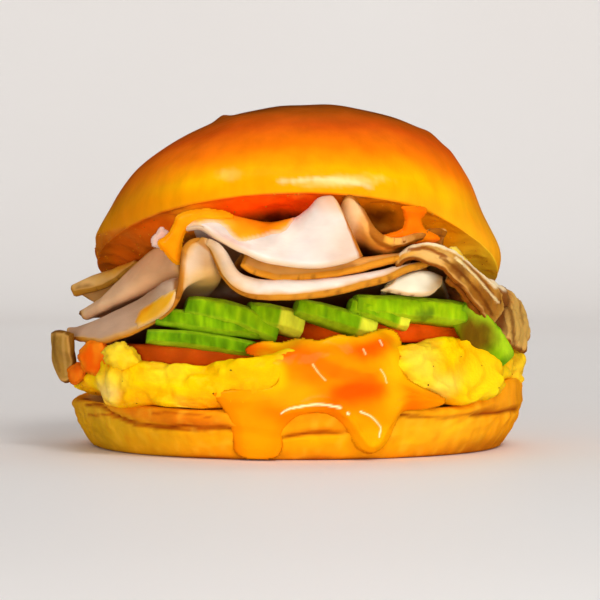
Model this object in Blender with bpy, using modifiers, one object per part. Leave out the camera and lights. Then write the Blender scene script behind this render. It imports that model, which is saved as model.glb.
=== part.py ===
"""Breakfast sandwich: a split bun tipped open at the front over egg, tomato, avocado, turkey and sauce.

Metres, +Z up. The open side of the sandwich faces -Y, and its origin is the middle of the flat base.
"""

import math

import bmesh
import bpy
import numpy as np
from mathutils import Matrix, Vector, noise
from mathutils.bvhtree import BVHTree

MM = 0.001
SHARP_ANGLE = math.radians(50.0)

# Bottom bun, a shallow tapered disc with a flat base.
HEEL_RADIUS = 55.4 * MM
HEEL_LIP_RISE = 5.0 * MM
HEEL_LIP_SIDE = -0.15
HEEL_UNEVEN = 0.012
HEEL_UNEVEN_SIZE = 22.0 * MM
HEEL_RIPPLE = 0.5 * MM
HEEL_RIPPLE_SIZE = 14.0 * MM
HEEL_SEGMENTS = 40
# Half of its outline, from the middle of the base to the middle of the cut: share of the radius,
# then height in millimetres.
HEEL_PROFILE = (
    (0.00, 0.0), (0.55, 0.0), (0.875, 0.0), (0.91, 1.0), (0.945, 4.0), (0.972, 7.6),
    (0.964, 8.9), (0.996, 10.1), (0.992, 11.3), (0.960, 11.9), (0.90, 11.4), (0.60, 11.2), (0.0, 11.2),
)

# Top bun, a half ellipsoid whose cut face tips up toward the front.
CROWN_RADIUS = 49.6 * MM
CROWN_HEIGHT = 37.0 * MM
CROWN_CENTRE_X = 0.6 * MM
CROWN_CENTRE_Z = 44.2 * MM
CROWN_SLOPE = 0.39
CROWN_BACK_BEND = 5.0
CROWN_SEGMENTS = 36
CROWN_RINGS = 18
CROWN_EDGE_ROUND = 0.10
CROWN_EDGE_TUCK = 0.03
CROWN_EDGE_HEIGHT = 0.16
CROWN_CUT_SHARE = 0.93
CROWN_UNEVEN = 0.010
CROWN_UNEVEN_SIZE = 24.0 * MM
# Its top sits a little to the right, and its right side is drawn in above the cut edge.
CROWN_TOP_SHIFT = 2.0 * MM
CROWN_TOP_FROM = 66.0 * MM
CROWN_TOP_FULL = 78.0 * MM
CROWN_RIGHT_DRAW = 2.8 * MM
CROWN_RIGHT_HEIGHTS = (45.0 * MM, 57.0 * MM, 72.0 * MM)

# The filling leans back by this slope, measured from the front of the egg.
LEAN = 0.05
LEAN_FROM_Y = -45.0 * MM

# Soft scrambled egg.
EGG_RADIUS = 53.4 * MM
EGG_BOTTOM = 11.55 * MM
EGG_TOP_LEFT = 21.4 * MM
EGG_TOP_RIGHT = 26.2 * MM
EGG_STEP_X = -8.0 * MM
EGG_SEGMENTS = 46
EGG_RINGS = 16
EGG_SQUARE_ACROSS = 0.45
EGG_SQUARE_UP = 0.75
CURD_SIZE = 10.0 * MM
CURD_DEPTH = 2.0 * MM
CURD_LIFT = 1.6 * MM
# Curds that stand out: x, y, z, reach and how far each is pushed out and up, in millimetres.
CURDS = (
    (-39.0, -34.0, 19.0, 7.0, (-2.2, -2.2, 0.0)),
    (-41.0, -37.0, 21.5, 5.0, (-0.5, -0.5, 5.5)),
    (-47.0, -29.0, 20.0, 5.5, (-0.5, -1.5, 4.5)),
    (-50.0, -20.0, 15.0, 6.0, (-1.5, -1.0, 1.0)),
    (-33.0, -41.0, 15.5, 7.5, (-1.2, -3.0, -0.6)),
    (-42.0, -34.0, 14.5, 7.0, (-2.0, -2.4, -2.4)),
    (-24.0, -48.0, 15.0, 7.5, (-0.6, -3.2, -1.4)),
    (-14.0, -50.0, 16.0, 7.0, (-0.2, -2.6, -0.8)),
    (-8.0, -52.0, 19.0, 7.0, (0.0, -1.5, 0.8)),
    (4.0, -47.0, 24.0, 9.0, (0.0, -3.0, 2.5)),
    (15.0, -45.0, 24.0, 9.0, (0.0, -3.0, 2.5)),
    (27.0, -43.5, 22.0, 5.0, (0.0, -2.2, 2.4)),
    (31.5, -38.5, 23.5, 5.0, (0.0, -1.0, 3.0)),
    (35.5, -41.0, 17.5, 6.0, (0.8, -2.4, -0.6)),
    (38.0, -35.0, 24.0, 5.0, (0.4, -0.6, 2.2)),
    (45.0, -29.0, 20.5, 6.0, (2.0, -2.0, 2.0)),
    (40.0, -38.0, 14.5, 7.0, (1.4, -2.8, -2.2)),
    (47.0, -29.0, 14.5, 6.0, (2.0, -1.8, -1.6)),
    (53.0, -6.0, 18.5, 5.0, (3.6, -1.0, 1.5)),
    (12.0, 50.0, 16.0, 7.0, (0.0, 2.0, 1.0)),
    (-30.0, 42.0, 16.0, 8.0, (-1.0, 1.5, 3.5)),
)
# How far the egg hangs below its base outside the bottom bun's lip, and where that starts and is full.
EGG_OVERHANG = 2.2 * MM
OVERHANG_FROM = 52.5 * MM
OVERHANG_FULL = 55.5 * MM

# Tomato slices: centre x, centre y, bottom z, radius, thickness, and the slope by which each leans back.
TOMATO_SLICES = (
    (-17.0 * MM, -9.0 * MM, 20.9 * MM, 34.0 * MM, 5.9 * MM, 0.05),
    (19.0 * MM, -3.5 * MM, 27.2 * MM, 32.5 * MM, 4.8 * MM, 0.05),
)

TOMATO_SEGMENTS = 26
TOMATO_EDGE = 1.1 * MM
TOMATO_LOBES = 0.02

TURKEY_THICKNESS = 1.7 * MM
TURKEY_ROWS_PER_RAIL = 2
# Folded turkey slices: points across each, whether those are evenly spaced along a rail or go knot by
# knot, then rails of x, y, z in millimetres from front rim to back.
TURKEY_SLICES = (
    (34, False, (
        ((-54.4, -14.0, 26.8), (-51.4, -21.4, 26.4), (-44.0, -34.0, 26.9), (-32.8, -44.0, 31.9),
         (-28.2, -49.0, 36.4), (-27.3, -50.5, 43.6), (-26.4, -50.5, 49.4), (-23.4, -50.5, 51.3),
         (-20.6, -50.5, 49.2), (-17.6, -50.5, 42.8), (-13.4, -51.0, 38.6), (-6.9, -52.0, 37.4),
         (5.0, -52.0, 38.2), (18.2, -50.0, 41.2), (25.3, -47.0, 44.0), (30.5, -43.5, 45.6)),
        ((-55.6, -5.0, 28.0), (-52.6, -11.0, 28.6), (-47.0, -19.0, 31.0), (-37.0, -30.0, 36.0),
         (-30.0, -40.5, 40.6), (-19.6, -42.8, 41.4), (-18.8, -43.6, 44.8), (-20.0, -45.0, 47.8),
         (-17.4, -46.0, 47.0), (-14.6, -46.0, 43.0), (-11.0, -45.5, 41.4), (-6.9, -44.5, 40.9),
         (4.5, -43.0, 41.1), (16.5, -41.0, 42.2), (24.0, -39.0, 43.3), (30.5, -36.0, 43.6)),
        ((-50.0, 12.0, 24.6), (-44.0, 9.0, 25.4), (-28.0, 8.0, 27.2), (-18.0, 6.0, 31.2),
         (8.0, 5.0, 32.8), (42.0, 10.0, 34.2)),
        ((-34.0, 40.0, 23.4), (-28.0, 43.0, 24.4), (-18.0, 46.0, 26.5), (4.0, 48.5, 27.6),
         (33.0, 40.0, 29.6)),
    )),
    (12, True, (
        ((-45.0, 10.0, 30.8), (-36.0, 10.0, 31.4), (-27.0, 10.0, 31.6)),
        ((-49.0, -5.0, 32.0), (-39.0, -14.0, 36.0), (-27.5, -22.0, 40.2)),
        ((-51.6, -9.0, 31.6), (-46.5, -18.5, 34.6), (-38.5, -28.0, 38.8), (-31.5, -32.5, 42.2),
         (-26.8, -35.6, 44.2)),
        ((-53.2, -4.0, 32.0), (-47.0, -8.5, 36.0), (-43.3, -12.5, 39.6), (-38.0, -18.0, 45.0),
         (-33.5, -23.0, 48.6), (-29.5, -26.0, 49.8), (-26.4, -29.0, 50.4)),
    )),
    (11, True, (
        ((-54.8, -1.0, 36.6), (-49.0, -4.0, 37.9), (-44.0, -8.0, 40.3), (-38.0, -12.5, 44.8)),
        ((-55.2, 3.0, 38.0), (-49.5, 1.0, 40.6), (-44.5, -2.0, 42.2), (-38.0, -6.0, 44.0)),
        ((-50.0, 16.0, 34.4), (-40.0, 14.0, 36.0), (-29.0, 12.0, 37.2)),
        ((-40.0, 34.0, 29.8), (-33.0, 40.0, 31.2), (-25.0, 43.5, 31.8)),
    )),
    (18, True, (
        ((-13.2, -49.0, 45.2), (-10.6, -49.2, 43.4), (-6.5, -49.0, 42.2), (-1.8, -49.0, 41.8),
         (9.9, -48.5, 43.2), (19.0, -47.0, 45.4), (25.0, -44.5, 46.9), (30.0, -40.5, 47.8)),
        ((-12.6, -36.0, 48.4), (-7.4, -37.0, 46.8), (4.0, -38.0, 45.2), (16.0, -37.0, 45.6),
         (27.0, -33.0, 46.4)),
        ((-22.0, 5.0, 33.2), (0.0, 5.0, 34.4), (24.0, 6.0, 36.6)),
        ((-17.0, 46.5, 30.0), (0.0, 49.0, 29.4), (19.0, 46.0, 32.0)),
    )),
    (22, True, (
        ((-26.6, -46.0, 53.4), (-22.4, -48.0, 53.6), (-18.7, -50.0, 51.2), (-12.9, -51.0, 48.2),
         (-7.8, -52.0, 46.2), (-1.2, -52.0, 44.8), (5.1, -52.0, 44.6), (10.8, -51.0, 45.6),
         (15.0, -49.2, 47.2)),
        ((-26.0, -38.0, 56.2), (-19.0, -38.5, 56.2), (-13.6, -39.0, 54.9), (-6.8, -41.0, 53.4),
         (-0.7, -43.5, 54.6), (3.0, -45.0, 57.2), (5.6, -46.5, 59.8), (8.8, -47.0, 60.2)),
        ((-24.0, -23.0, 50.4), (-14.0, -24.0, 50.4), (0.0, -26.0, 51.5), (7.0, -30.0, 54.5)),
        ((-22.0, 6.0, 36.8), (-12.0, 5.0, 38.2), (2.0, 5.0, 38.6), (6.0, 5.0, 39.0)),
        ((-16.0, 46.0, 33.4), (-6.0, 48.0, 32.8), (4.0, 48.0, 33.4)),
    )),
    (22, True, (
        ((9.6, -40.0, 50.5), (9.9, -41.5, 57.5), (11.2, -43.2, 61.2), (13.4, -44.2, 60.6),
         (15.2, -44.8, 56.8), (17.6, -45.4, 52.6), (21.8, -44.8, 49.8), (27.8, -41.0, 51.2),
         (32.0, -37.0, 52.8), (35.0, -32.0, 52.0)),
        ((10.4, -35.0, 47.2), (10.6, -38.2, 49.0), (11.6, -40.6, 51.0), (13.4, -41.6, 52.0),
         (15.4, -42.0, 51.6), (17.6, -42.0, 50.2), (21.4, -41.5, 49.2), (27.6, -36.0, 50.8),
         (34.5, -27.0, 51.6)),
        ((11.0, 5.0, 39.6), (24.0, 6.0, 40.2), (34.0, 7.0, 40.0)),
        ((11.0, 47.0, 34.6), (20.0, 45.0, 35.0), (29.0, 41.0, 34.8)),
    )),
    (14, True, (
        ((34.6, -44.8, 41.4), (38.0, -42.0, 38.0), (42.0, -37.5, 33.4), (46.0, -31.0, 28.6),
         (50.4, -23.0, 25.2), (54.6, -10.0, 22.8)),
        ((35.2, -42.0, 44.4), (41.0, -35.0, 40.5), (46.5, -27.0, 36.0), (52.0, -17.0, 31.5),
         (55.6, -7.0, 28.6)),
        ((30.0, -37.0, 49.6), (35.5, -34.0, 46.4), (41.5, -28.0, 42.4), (48.5, -18.5, 38.2),
         (54.0, -5.0, 34.2)),
        ((28.0, -22.0, 45.0), (37.5, -14.0, 41.6), (45.0, -6.0, 38.4), (50.5, 6.0, 35.4)),
        ((32.0, 12.0, 37.0), (42.0, 14.0, 36.8), (50.0, 18.0, 34.0)),
        ((31.0, 38.0, 32.0), (38.0, 33.0, 32.0), (44.0, 26.0, 31.6)),
    )),
    (10, True, (
        ((20.5, -45.6, 39.0), (25.5, -45.8, 38.0), (30.5, -44.4, 38.0), (33.4, -41.8, 40.2)),
        ((22.5, -44.4, 41.2), (27.0, -43.8, 42.4), (30.5, -42.4, 42.6), (33.8, -40.2, 41.6)),
        ((20.0, -37.5, 39.0), (26.0, -37.0, 40.2), (31.0, -35.5, 40.6), (34.5, -33.5, 40.2)),
        ((18.0, 4.0, 31.0), (28.0, 5.0, 31.0), (39.0, 6.0, 31.0)),
        ((21.0, 13.0, 30.6), (28.0, 14.0, 30.6), (37.0, 13.0, 30.6)),
    )),
    (8, True, (
        ((-56.8, -12.5, 16.8), (-55.6, -14.5, 15.9), (-54.2, -15.5, 16.8)),
        ((-58.9, -9.0, 21.0), (-57.0, -13.5, 20.8), (-53.4, -16.5, 21.1)),
        ((-59.0, -11.0, 25.0), (-57.2, -16.8, 24.8), (-53.6, -20.4, 24.2)),
        ((-58.9, -12.0, 28.2), (-57.2, -17.6, 28.8), (-53.8, -22.0, 28.2)),
    )),
)

AVOCADO_STEPS = 8
AVOCADO_ROWS = 3
AVOCADO_BOW = 0.16
AVOCADO_ROUND = 0.30
# Avocado slices: middle x, y, z of the outer edge, then length, depth and thickness, in millimetres,
# then yaw, pitch and roll in degrees, how far the left and right ends are tapered, and how many
# millimetres both ends sag.
AVOCADO_SLICES = (
    ((-22.2, -46.5, 27.8), (25.5, 11.0, 4.2), (4.0, -7.0, -6.0), (0.45, 0.25), 0.6),
    ((-20.4, -45.6, 32.0), (25.0, 11.0, 5.0), (3.0, -8.0, -8.0), (0.45, 0.35), 0.0),
    ((-14.6, -45.8, 33.9), (22.5, 12.0, 6.2), (6.0, -17.0, -8.0), (0.45, 0.45), 1.4),
    ((9.6, -45.6, 33.2), (19.5, 11.0, 5.2), (9.0, -17.0, -8.0), (0.40, 0.0), 0.0),
    ((19.6, -44.4, 33.9), (14.6, 8.0, 4.0), (10.0, -17.0, -6.0), (0.30, 0.0), 0.0),
    ((27.4, -43.0, 35.1), (27.0, 11.0, 6.0), (14.0, -5.0, -8.0), (0.45, 0.0), 0.0),
    ((46.6, -34.0, 31.0), (19.0, 9.0, 2.6), (36.0, -43.0, -62.0), (0.40, 0.4), 0.0),
    ((-24.0, 44.5, 22.4), (30.0, 12.0, 4.6), (190.0, 2.0, -4.0), (0.45, 0.4), 0.0),
    ((8.0, 47.0, 22.0), (30.0, 12.0, 4.8), (178.0, 4.0, -6.0), (0.40, 0.4), 0.0),
    ((30.0, 38.0, 22.6), (26.0, 12.0, 4.6), (146.0, 3.0, -4.0), (0.45, 0.35), 0.0),
    ((-4.4, -44.2, 33.0), (13.5, 11.0, 6.0), (10.0, -14.0, -8.0), (0.30, 0.0), 0.0),
)

# Gap left between neighbours.
GAP = 0.35 * MM

# Sauce over the front of the egg: its sides, its upper edge, its lower edge and its drips, in millimetres.
SAUCE_COLUMNS = 27
SAUCE_ROWS = 10
SAUCE_LEFT = -20.5
SAUCE_RIGHT = 24.5
SAUCE_TOP = (
    (-20.5, 20.5), (-14.0, 22.6), (-6.0, 25.6), (4.0, 26.6), (14.0, 26.8), (22.0, 27.2), (24.5, 25.5),
)
SAUCE_BOTTOM = (
    (-20.5, 13.5), (-15.8, 12.2), (-14.0, 3.0), (-10.5, 1.4), (-6.0, 1.6), (-4.2, 7.5), (0.0, 9.3),
    (6.0, 9.6), (11.0, 7.5), (13.2, 4.4), (16.8, 2.6), (20.3, 4.6), (22.3, 9.5), (24.5, 13.0),
)
SAUCE_FLOOR_CLEARANCE = 0.5
SAUCE_THICKNESS = 2.0 * MM
SAUCE_EDGE = 0.5 * MM
SAUCE_SIDE_SLOPE = 4.0
SAUCE_END_SLOPE = 2.5
SAUCE_LIP = 0.25


def clear_scene():
    """Remove every object of the open scene."""
    for item in list(bpy.data.objects):
        bpy.data.objects.remove(item, do_unlink=True)


def make_material(name, colour, roughness, coat=0.0):
    """Return a plain Principled material of one colour."""
    material = bpy.data.materials.new(name)
    material.use_nodes = True
    shader = material.node_tree.nodes["Principled BSDF"]
    shader.inputs["Base Color"].default_value = (*colour, 1.0)
    shader.inputs["Roughness"].default_value = roughness
    shader.inputs["Metallic"].default_value = 0.0
    shader.inputs["Coat Weight"].default_value = coat
    return material


def add_object(name, mesh, material, collection):
    """Link a mesh as a named object with one material, shaded smooth between its sharp edges."""
    mesh.materials.append(material)
    mesh.shade_smooth()
    mesh.set_sharp_from_angle(angle=SHARP_ANGLE)
    item = bpy.data.objects.new(name, mesh)
    collection.objects.link(item)
    return item


def mesh_from(bm, name):
    """Turn a bmesh into a mesh of triangles that point out."""
    bmesh.ops.triangulate(bm, faces=bm.faces[:], quad_method="FIXED")
    bmesh.ops.recalc_face_normals(bm, faces=bm.faces)
    mesh = bpy.data.meshes.new(name)
    bm.to_mesh(mesh)
    bm.free()
    return mesh


def wobble(x, y, z, size, seed):
    """Smooth noise between about -1 and 1 that changes over `size` metres."""
    return noise.noise(Vector((x / size + seed, y / size - seed, z / size + 0.5 * seed)))


def smoothstep(low, high, value):
    """Rise smoothly from 0 at `low` to 1 at `high`."""
    t = min(1.0, max(0.0, (value - low) / (high - low)))
    return t * t * (3.0 - 2.0 * t)


def lean(y, slope=LEAN):
    """How far the filling has sunk at depth y, as it tips back."""
    return -slope * (y - LEAN_FROM_Y)


def spline(knots, count, even=True):
    """Return `count` points on a smooth curve through the knots, spaced evenly or knot by knot."""
    points = np.asarray(knots, dtype=float)
    padded = np.vstack([2 * points[0] - points[1], points, 2 * points[-1] - points[-2]])
    dense = []
    for i in range(len(points) - 1):
        a, b, c, d = padded[i:i + 4]
        for t in np.linspace(0.0, 1.0, 12, endpoint=False):
            dense.append(0.5 * (2 * b + (c - a) * t + (2 * a - 5 * b + 4 * c - d) * t ** 2
                                + (3 * b - a - 3 * c + d) * t ** 3))
    dense.append(points[-1])
    dense = np.array(dense)
    run = np.arange(len(dense), dtype=float)
    if even:
        run = np.concatenate([[0.0], np.cumsum(np.linalg.norm(np.diff(dense, axis=0), axis=1))])
    steps = np.linspace(0.0, run[-1], count)
    return np.column_stack([np.interp(steps, run, dense[:, k]) for k in range(dense.shape[1])])


def make_heel(material, collection):
    """Bottom bun: a turned profile with a cut lip that stands higher on the right."""
    rings = len(HEEL_PROFILE)
    bm = bmesh.new()
    bmesh.ops.create_uvsphere(bm, u_segments=HEEL_SEGMENTS, v_segments=rings - 1, radius=1.0)
    for vertex in bm.verts:
        angle = math.atan2(vertex.co.y, vertex.co.x)
        ring = round((math.asin(max(-1.0, min(1.0, vertex.co.z))) / math.pi + 0.5) * (rings - 1))
        share, height = HEEL_PROFILE[ring]
        right = smoothstep(0.8, 1.0, math.cos(angle - HEEL_LIP_SIDE))
        lip = smoothstep(9.0, 11.8, height) * smoothstep(0.80, 0.95, share)
        x = HEEL_RADIUS * share * math.cos(angle)
        y = HEEL_RADIUS * share * math.sin(angle)
        z = height * MM + HEEL_LIP_RISE * right * lip
        if height > 0.5:
            swell = 1.0 + HEEL_UNEVEN * wobble(x, y, z, HEEL_UNEVEN_SIZE, 3.1) * share
            x, y = x * swell, y * swell
            ripple = wobble(x, y, 0.0, HEEL_RIPPLE_SIZE, 8.2) * smoothstep(0.7, 0.95, share)
            z += HEEL_RIPPLE * ripple
        vertex.co = (x, y, z)
    return add_object("bun_bottom", mesh_from(bm, "bun_bottom"), material, collection)


def make_crown(material, collection):
    """Top bun: a domed half ellipsoid over a flat cut face, tipped and a little bent at the back."""
    bm = bmesh.new()
    bmesh.ops.create_uvsphere(bm, u_segments=CROWN_SEGMENTS, v_segments=CROWN_RINGS, radius=1.0)
    tilt = math.atan(CROWN_SLOPE)
    turn = Matrix.Rotation(-tilt, 3, "X")
    for vertex in bm.verts:
        across = math.hypot(vertex.co.x, vertex.co.y)
        angle = math.atan2(vertex.co.y, vertex.co.x)
        if vertex.co.z > 0.0:
            share, rise = across, vertex.co.z
        else:
            depth = -vertex.co.z
            share = 1.0 - CROWN_EDGE_ROUND * smoothstep(0.0, 0.35, depth)
            share *= min(1.0, across / CROWN_CUT_SHARE)
            rise = 0.0
        if 0.0 <= vertex.co.z < CROWN_EDGE_HEIGHT:
            share -= CROWN_EDGE_TUCK * (1.0 - vertex.co.z / CROWN_EDGE_HEIGHT) ** 2
        reach = CROWN_RADIUS * share
        local = Vector((reach * math.cos(angle), reach * math.sin(angle), CROWN_HEIGHT * rise))
        if rise > 0.0:
            local *= 1.0 + CROWN_UNEVEN * wobble(*local, CROWN_UNEVEN_SIZE, 5.7)
        place = turn @ local
        z = place.z + CROWN_CENTRE_Z
        low, middle, high = CROWN_RIGHT_HEIGHTS
        drawn = smoothstep(low, middle, z) * (1.0 - smoothstep(middle, high, z))
        drawn *= smoothstep(0.35, 0.9, place.x / CROWN_RADIUS)
        x = place.x + CROWN_CENTRE_X - CROWN_RIGHT_DRAW * drawn
        x += CROWN_TOP_SHIFT * smoothstep(CROWN_TOP_FROM, CROWN_TOP_FULL, z)
        vertex.co = (x, place.y, z + CROWN_BACK_BEND * max(0.0, place.y) ** 2)
    return add_object("bun_top", mesh_from(bm, "bun_top"), material, collection)


def egg_top(x, y):
    """Height of the egg's top: low under the left tomato slice, high beside it and on the right."""
    centre_x, centre_y, _, radius, _, _ = TOMATO_SLICES[0]
    beside = smoothstep(0.92 * radius, 1.06 * radius, math.hypot(x - centre_x, y - centre_y))
    beside *= smoothstep(EGG_STEP_X - 6.0 * MM, EGG_STEP_X + 6.0 * MM, x)
    share = max(beside, smoothstep(16.5 * MM, 27.0 * MM, x))
    return EGG_TOP_LEFT + (EGG_TOP_RIGHT - EGG_TOP_LEFT) * share + lean(y)


def make_egg(material, collection):
    """Soft scrambled egg: a lumpy pad with curds that stand out round its rim."""
    bm = bmesh.new()
    bmesh.ops.create_uvsphere(bm, u_segments=EGG_SEGMENTS, v_segments=EGG_RINGS, radius=1.0)
    for vertex in bm.verts:
        angle = math.atan2(vertex.co.y, vertex.co.x)
        across = math.hypot(vertex.co.x, vertex.co.y) ** EGG_SQUARE_ACROSS
        level = math.copysign(abs(vertex.co.z) ** EGG_SQUARE_UP, vertex.co.z)
        x, y = EGG_RADIUS * across * math.cos(angle), EGG_RADIUS * across * math.sin(angle)
        top = egg_top(x, y)
        rim = smoothstep(0.86, 0.97, across)
        z = 0.5 * (top + EGG_BOTTOM) + level * 0.5 * (top - EGG_BOTTOM)
        curd = wobble(x, y, z, CURD_SIZE, 1.7) + 0.5 * wobble(x, y, z, 0.5 * CURD_SIZE, 4.4)
        lift = CURD_LIFT * (0.8 + wobble(x, y, 0.0, 0.8 * CURD_SIZE, 2.3)) * smoothstep(0.0, 0.4, level)
        place = Vector((x, y, z))
        place += Vector((math.cos(angle), math.sin(angle), 0.0)) * CURD_DEPTH * rim * curd
        place += Vector((0.0, 0.0, lift * rim))
        for cx, cy, cz, reach, push in CURDS:
            near = ((place - Vector((cx, cy, cz)) * MM).length / (reach * MM)) ** 2
            place += Vector(push) * MM * math.exp(-near)
        hang = EGG_OVERHANG * smoothstep(OVERHANG_FROM, OVERHANG_FULL, math.hypot(place.x, place.y))
        place.z = max(place.z, EGG_BOTTOM - hang)
        vertex.co = place
    return add_object("egg", mesh_from(bm, "egg"), material, collection)


def make_tomato(name, slice_size, material, collection):
    """Tomato slice: a flat round with soft edges that follows the lean of the filling."""
    centre_x, centre_y, bottom, radius, thickness, slope = slice_size
    bm = bmesh.new()
    bmesh.ops.create_cone(bm, cap_ends=True, segments=TOMATO_SEGMENTS, radius1=radius, radius2=radius,
                          depth=thickness)
    edges = [edge for edge in bm.edges if abs(edge.verts[0].co.z - edge.verts[1].co.z) < 1e-6]
    bmesh.ops.bevel(bm, geom=edges, offset=TOMATO_EDGE, segments=2, profile=0.6, affect="EDGES")
    for vertex in bm.verts:
        angle = math.atan2(vertex.co.y, vertex.co.x)
        lobes = 1.0 + TOMATO_LOBES * math.cos(5 * angle + centre_x * 90)
        x, y = centre_x + vertex.co.x * lobes, centre_y + vertex.co.y * lobes
        vertex.co = (x, y, bottom + 0.5 * thickness + vertex.co.z + lean(y, slope))
    return add_object(name, mesh_from(bm, name), material, collection)


def make_avocado(name, shape, material, collection):
    """Avocado slice: a crescent of flesh with a rounded outer edge and flat sides."""
    place, size, angles, taper, sag = shape
    length, depth, thickness = (value * MM for value in size)
    bm = bmesh.new()
    bmesh.ops.create_grid(bm, x_segments=AVOCADO_STEPS, y_segments=AVOCADO_ROWS, size=1.0)
    upper = bmesh.ops.extrude_face_region(bm, geom=list(bm.faces))
    for vertex in (item for item in upper["geom"] if isinstance(item, bmesh.types.BMVert)):
        vertex.co.z = 1.0
    yaw, pitch, roll = (math.radians(angle) for angle in angles)
    turn = Matrix.Rotation(yaw, 4, "Z") @ Matrix.Rotation(-pitch, 4, "Y") @ Matrix.Rotation(roll, 4, "X")
    for vertex in bm.verts:
        u, v, side = vertex.co.x, vertex.co.y, vertex.co.z * 2.0 - 1.0
        end = u * u * (taper[0] if u < 0 else taper[1])
        x = 0.5 * length * u
        y = 0.5 * depth * (v + 1.0) * (1.0 - end) + AVOCADO_BOW * depth * u * u
        flank = 1.0 - AVOCADO_ROUND * smoothstep(0.4, 1.0, abs(v))
        z = side * 0.5 * thickness * flank * (1.0 - 0.5 * end) - sag * MM * u * u
        vertex.co = turn @ Vector((x, y, z)) + Vector(place) * MM
    return add_object(name, mesh_from(bm, name), material, collection)


def make_turkey(name, shape, material, collection):
    """Folded slice of turkey: a thin sheet lofted through its rails and given its thickness."""
    across, even, rails = shape
    lines = [spline(np.array(rail) * MM, across, even) for rail in rails]
    rows = TURKEY_ROWS_PER_RAIL * (len(rails) - 1) + 1
    columns = [spline([line[i] for line in lines], rows, even=False) for i in range(across)]
    bm = bmesh.new()
    bmesh.ops.create_grid(bm, x_segments=across - 1, y_segments=rows - 1, size=1.0)
    for vertex in bm.verts:
        i = round((vertex.co.x + 1.0) * 0.5 * (across - 1))
        j = round((vertex.co.y + 1.0) * 0.5 * (rows - 1))
        vertex.co = columns[i][j]
    bmesh.ops.triangulate(bm, faces=bm.faces[:], quad_method="FIXED")
    mesh = bpy.data.meshes.new(name)
    bm.to_mesh(mesh)
    bm.free()
    item = add_object(name, mesh, material, collection)
    shell = item.modifiers.new("thickness", "SOLIDIFY")
    shell.thickness = TURKEY_THICKNESS
    shell.offset = 0.0
    return item


def solid_mesh(item):
    """Return a piece's shape with its modifiers worked in."""
    bpy.context.view_layer.update()
    graph = bpy.context.evaluated_depsgraph_get()
    return bpy.data.meshes.new_from_object(item.evaluated_get(graph), depsgraph=graph)


def rooms_for(pieces, cutters):
    """Copy pieces, swell them by the gap and keep the copies as hidden cutters."""
    rooms = []
    for item in pieces:
        room = bpy.data.objects.new(f"{item.name}_room", solid_mesh(item))
        cutters.objects.link(room)
        room.hide_render = True
        room.display_type = "WIRE"
        swell = room.modifiers.new("gap", "DISPLACE")
        swell.mid_level = 0.0
        swell.strength = GAP
        rooms.append(room)
    return rooms


def drop_scraps(mesh):
    """Keep only the largest connected body of a mesh."""
    bm = bmesh.new()
    bm.from_mesh(mesh)
    bmesh.ops.dissolve_degenerate(bm, dist=0.01 * MM, edges=bm.edges[:])
    left = set(bm.verts)
    bodies = []
    while left:
        stack = [left.pop()]
        body = set(stack)
        while stack:
            for edge in stack.pop().link_edges:
                for vertex in edge.verts:
                    if vertex in left:
                        left.discard(vertex)
                        body.add(vertex)
                        stack.append(vertex)
        bodies.append(body)
    bodies.sort(key=len)
    bmesh.ops.delete(bm, geom=[vertex for body in bodies[:-1] for vertex in body], context="VERTS")
    bm.to_mesh(mesh)
    bm.free()


def surfaces_meet(item, other):
    """Tell whether the surfaces of two pieces cross."""
    bpy.context.view_layer.update()
    graph = bpy.context.evaluated_depsgraph_get()
    return bool(BVHTree.FromObject(item, graph).overlap(BVHTree.FromObject(other, graph)))


def carve(item, rooms):
    """Cut from a piece the room that its neighbours and their gap take up."""
    for room in [room for room in rooms if surfaces_meet(item, room)]:
        cut = item.modifiers.new(room.name, "BOOLEAN")
        cut.operation = "DIFFERENCE"
        cut.object = room
    mesh = solid_mesh(item)
    item.modifiers.clear()
    drop_scraps(mesh)
    old = item.data
    item.data = mesh
    mesh.shade_smooth()
    mesh.set_sharp_from_angle(angle=SHARP_ANGLE)
    bpy.data.meshes.remove(old)


def front_depth(trees, x, z):
    """Return the y of the first surface met from the front at (x, z), or None."""
    hits = [tree.ray_cast(Vector((x, -0.2, z)), Vector((0.0, 1.0, 0.0)))[0] for tree in trees]
    depths = [hit.y for hit in hits if hit is not None and hit.y < 0.0]
    return min(depths) if depths else None


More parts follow.
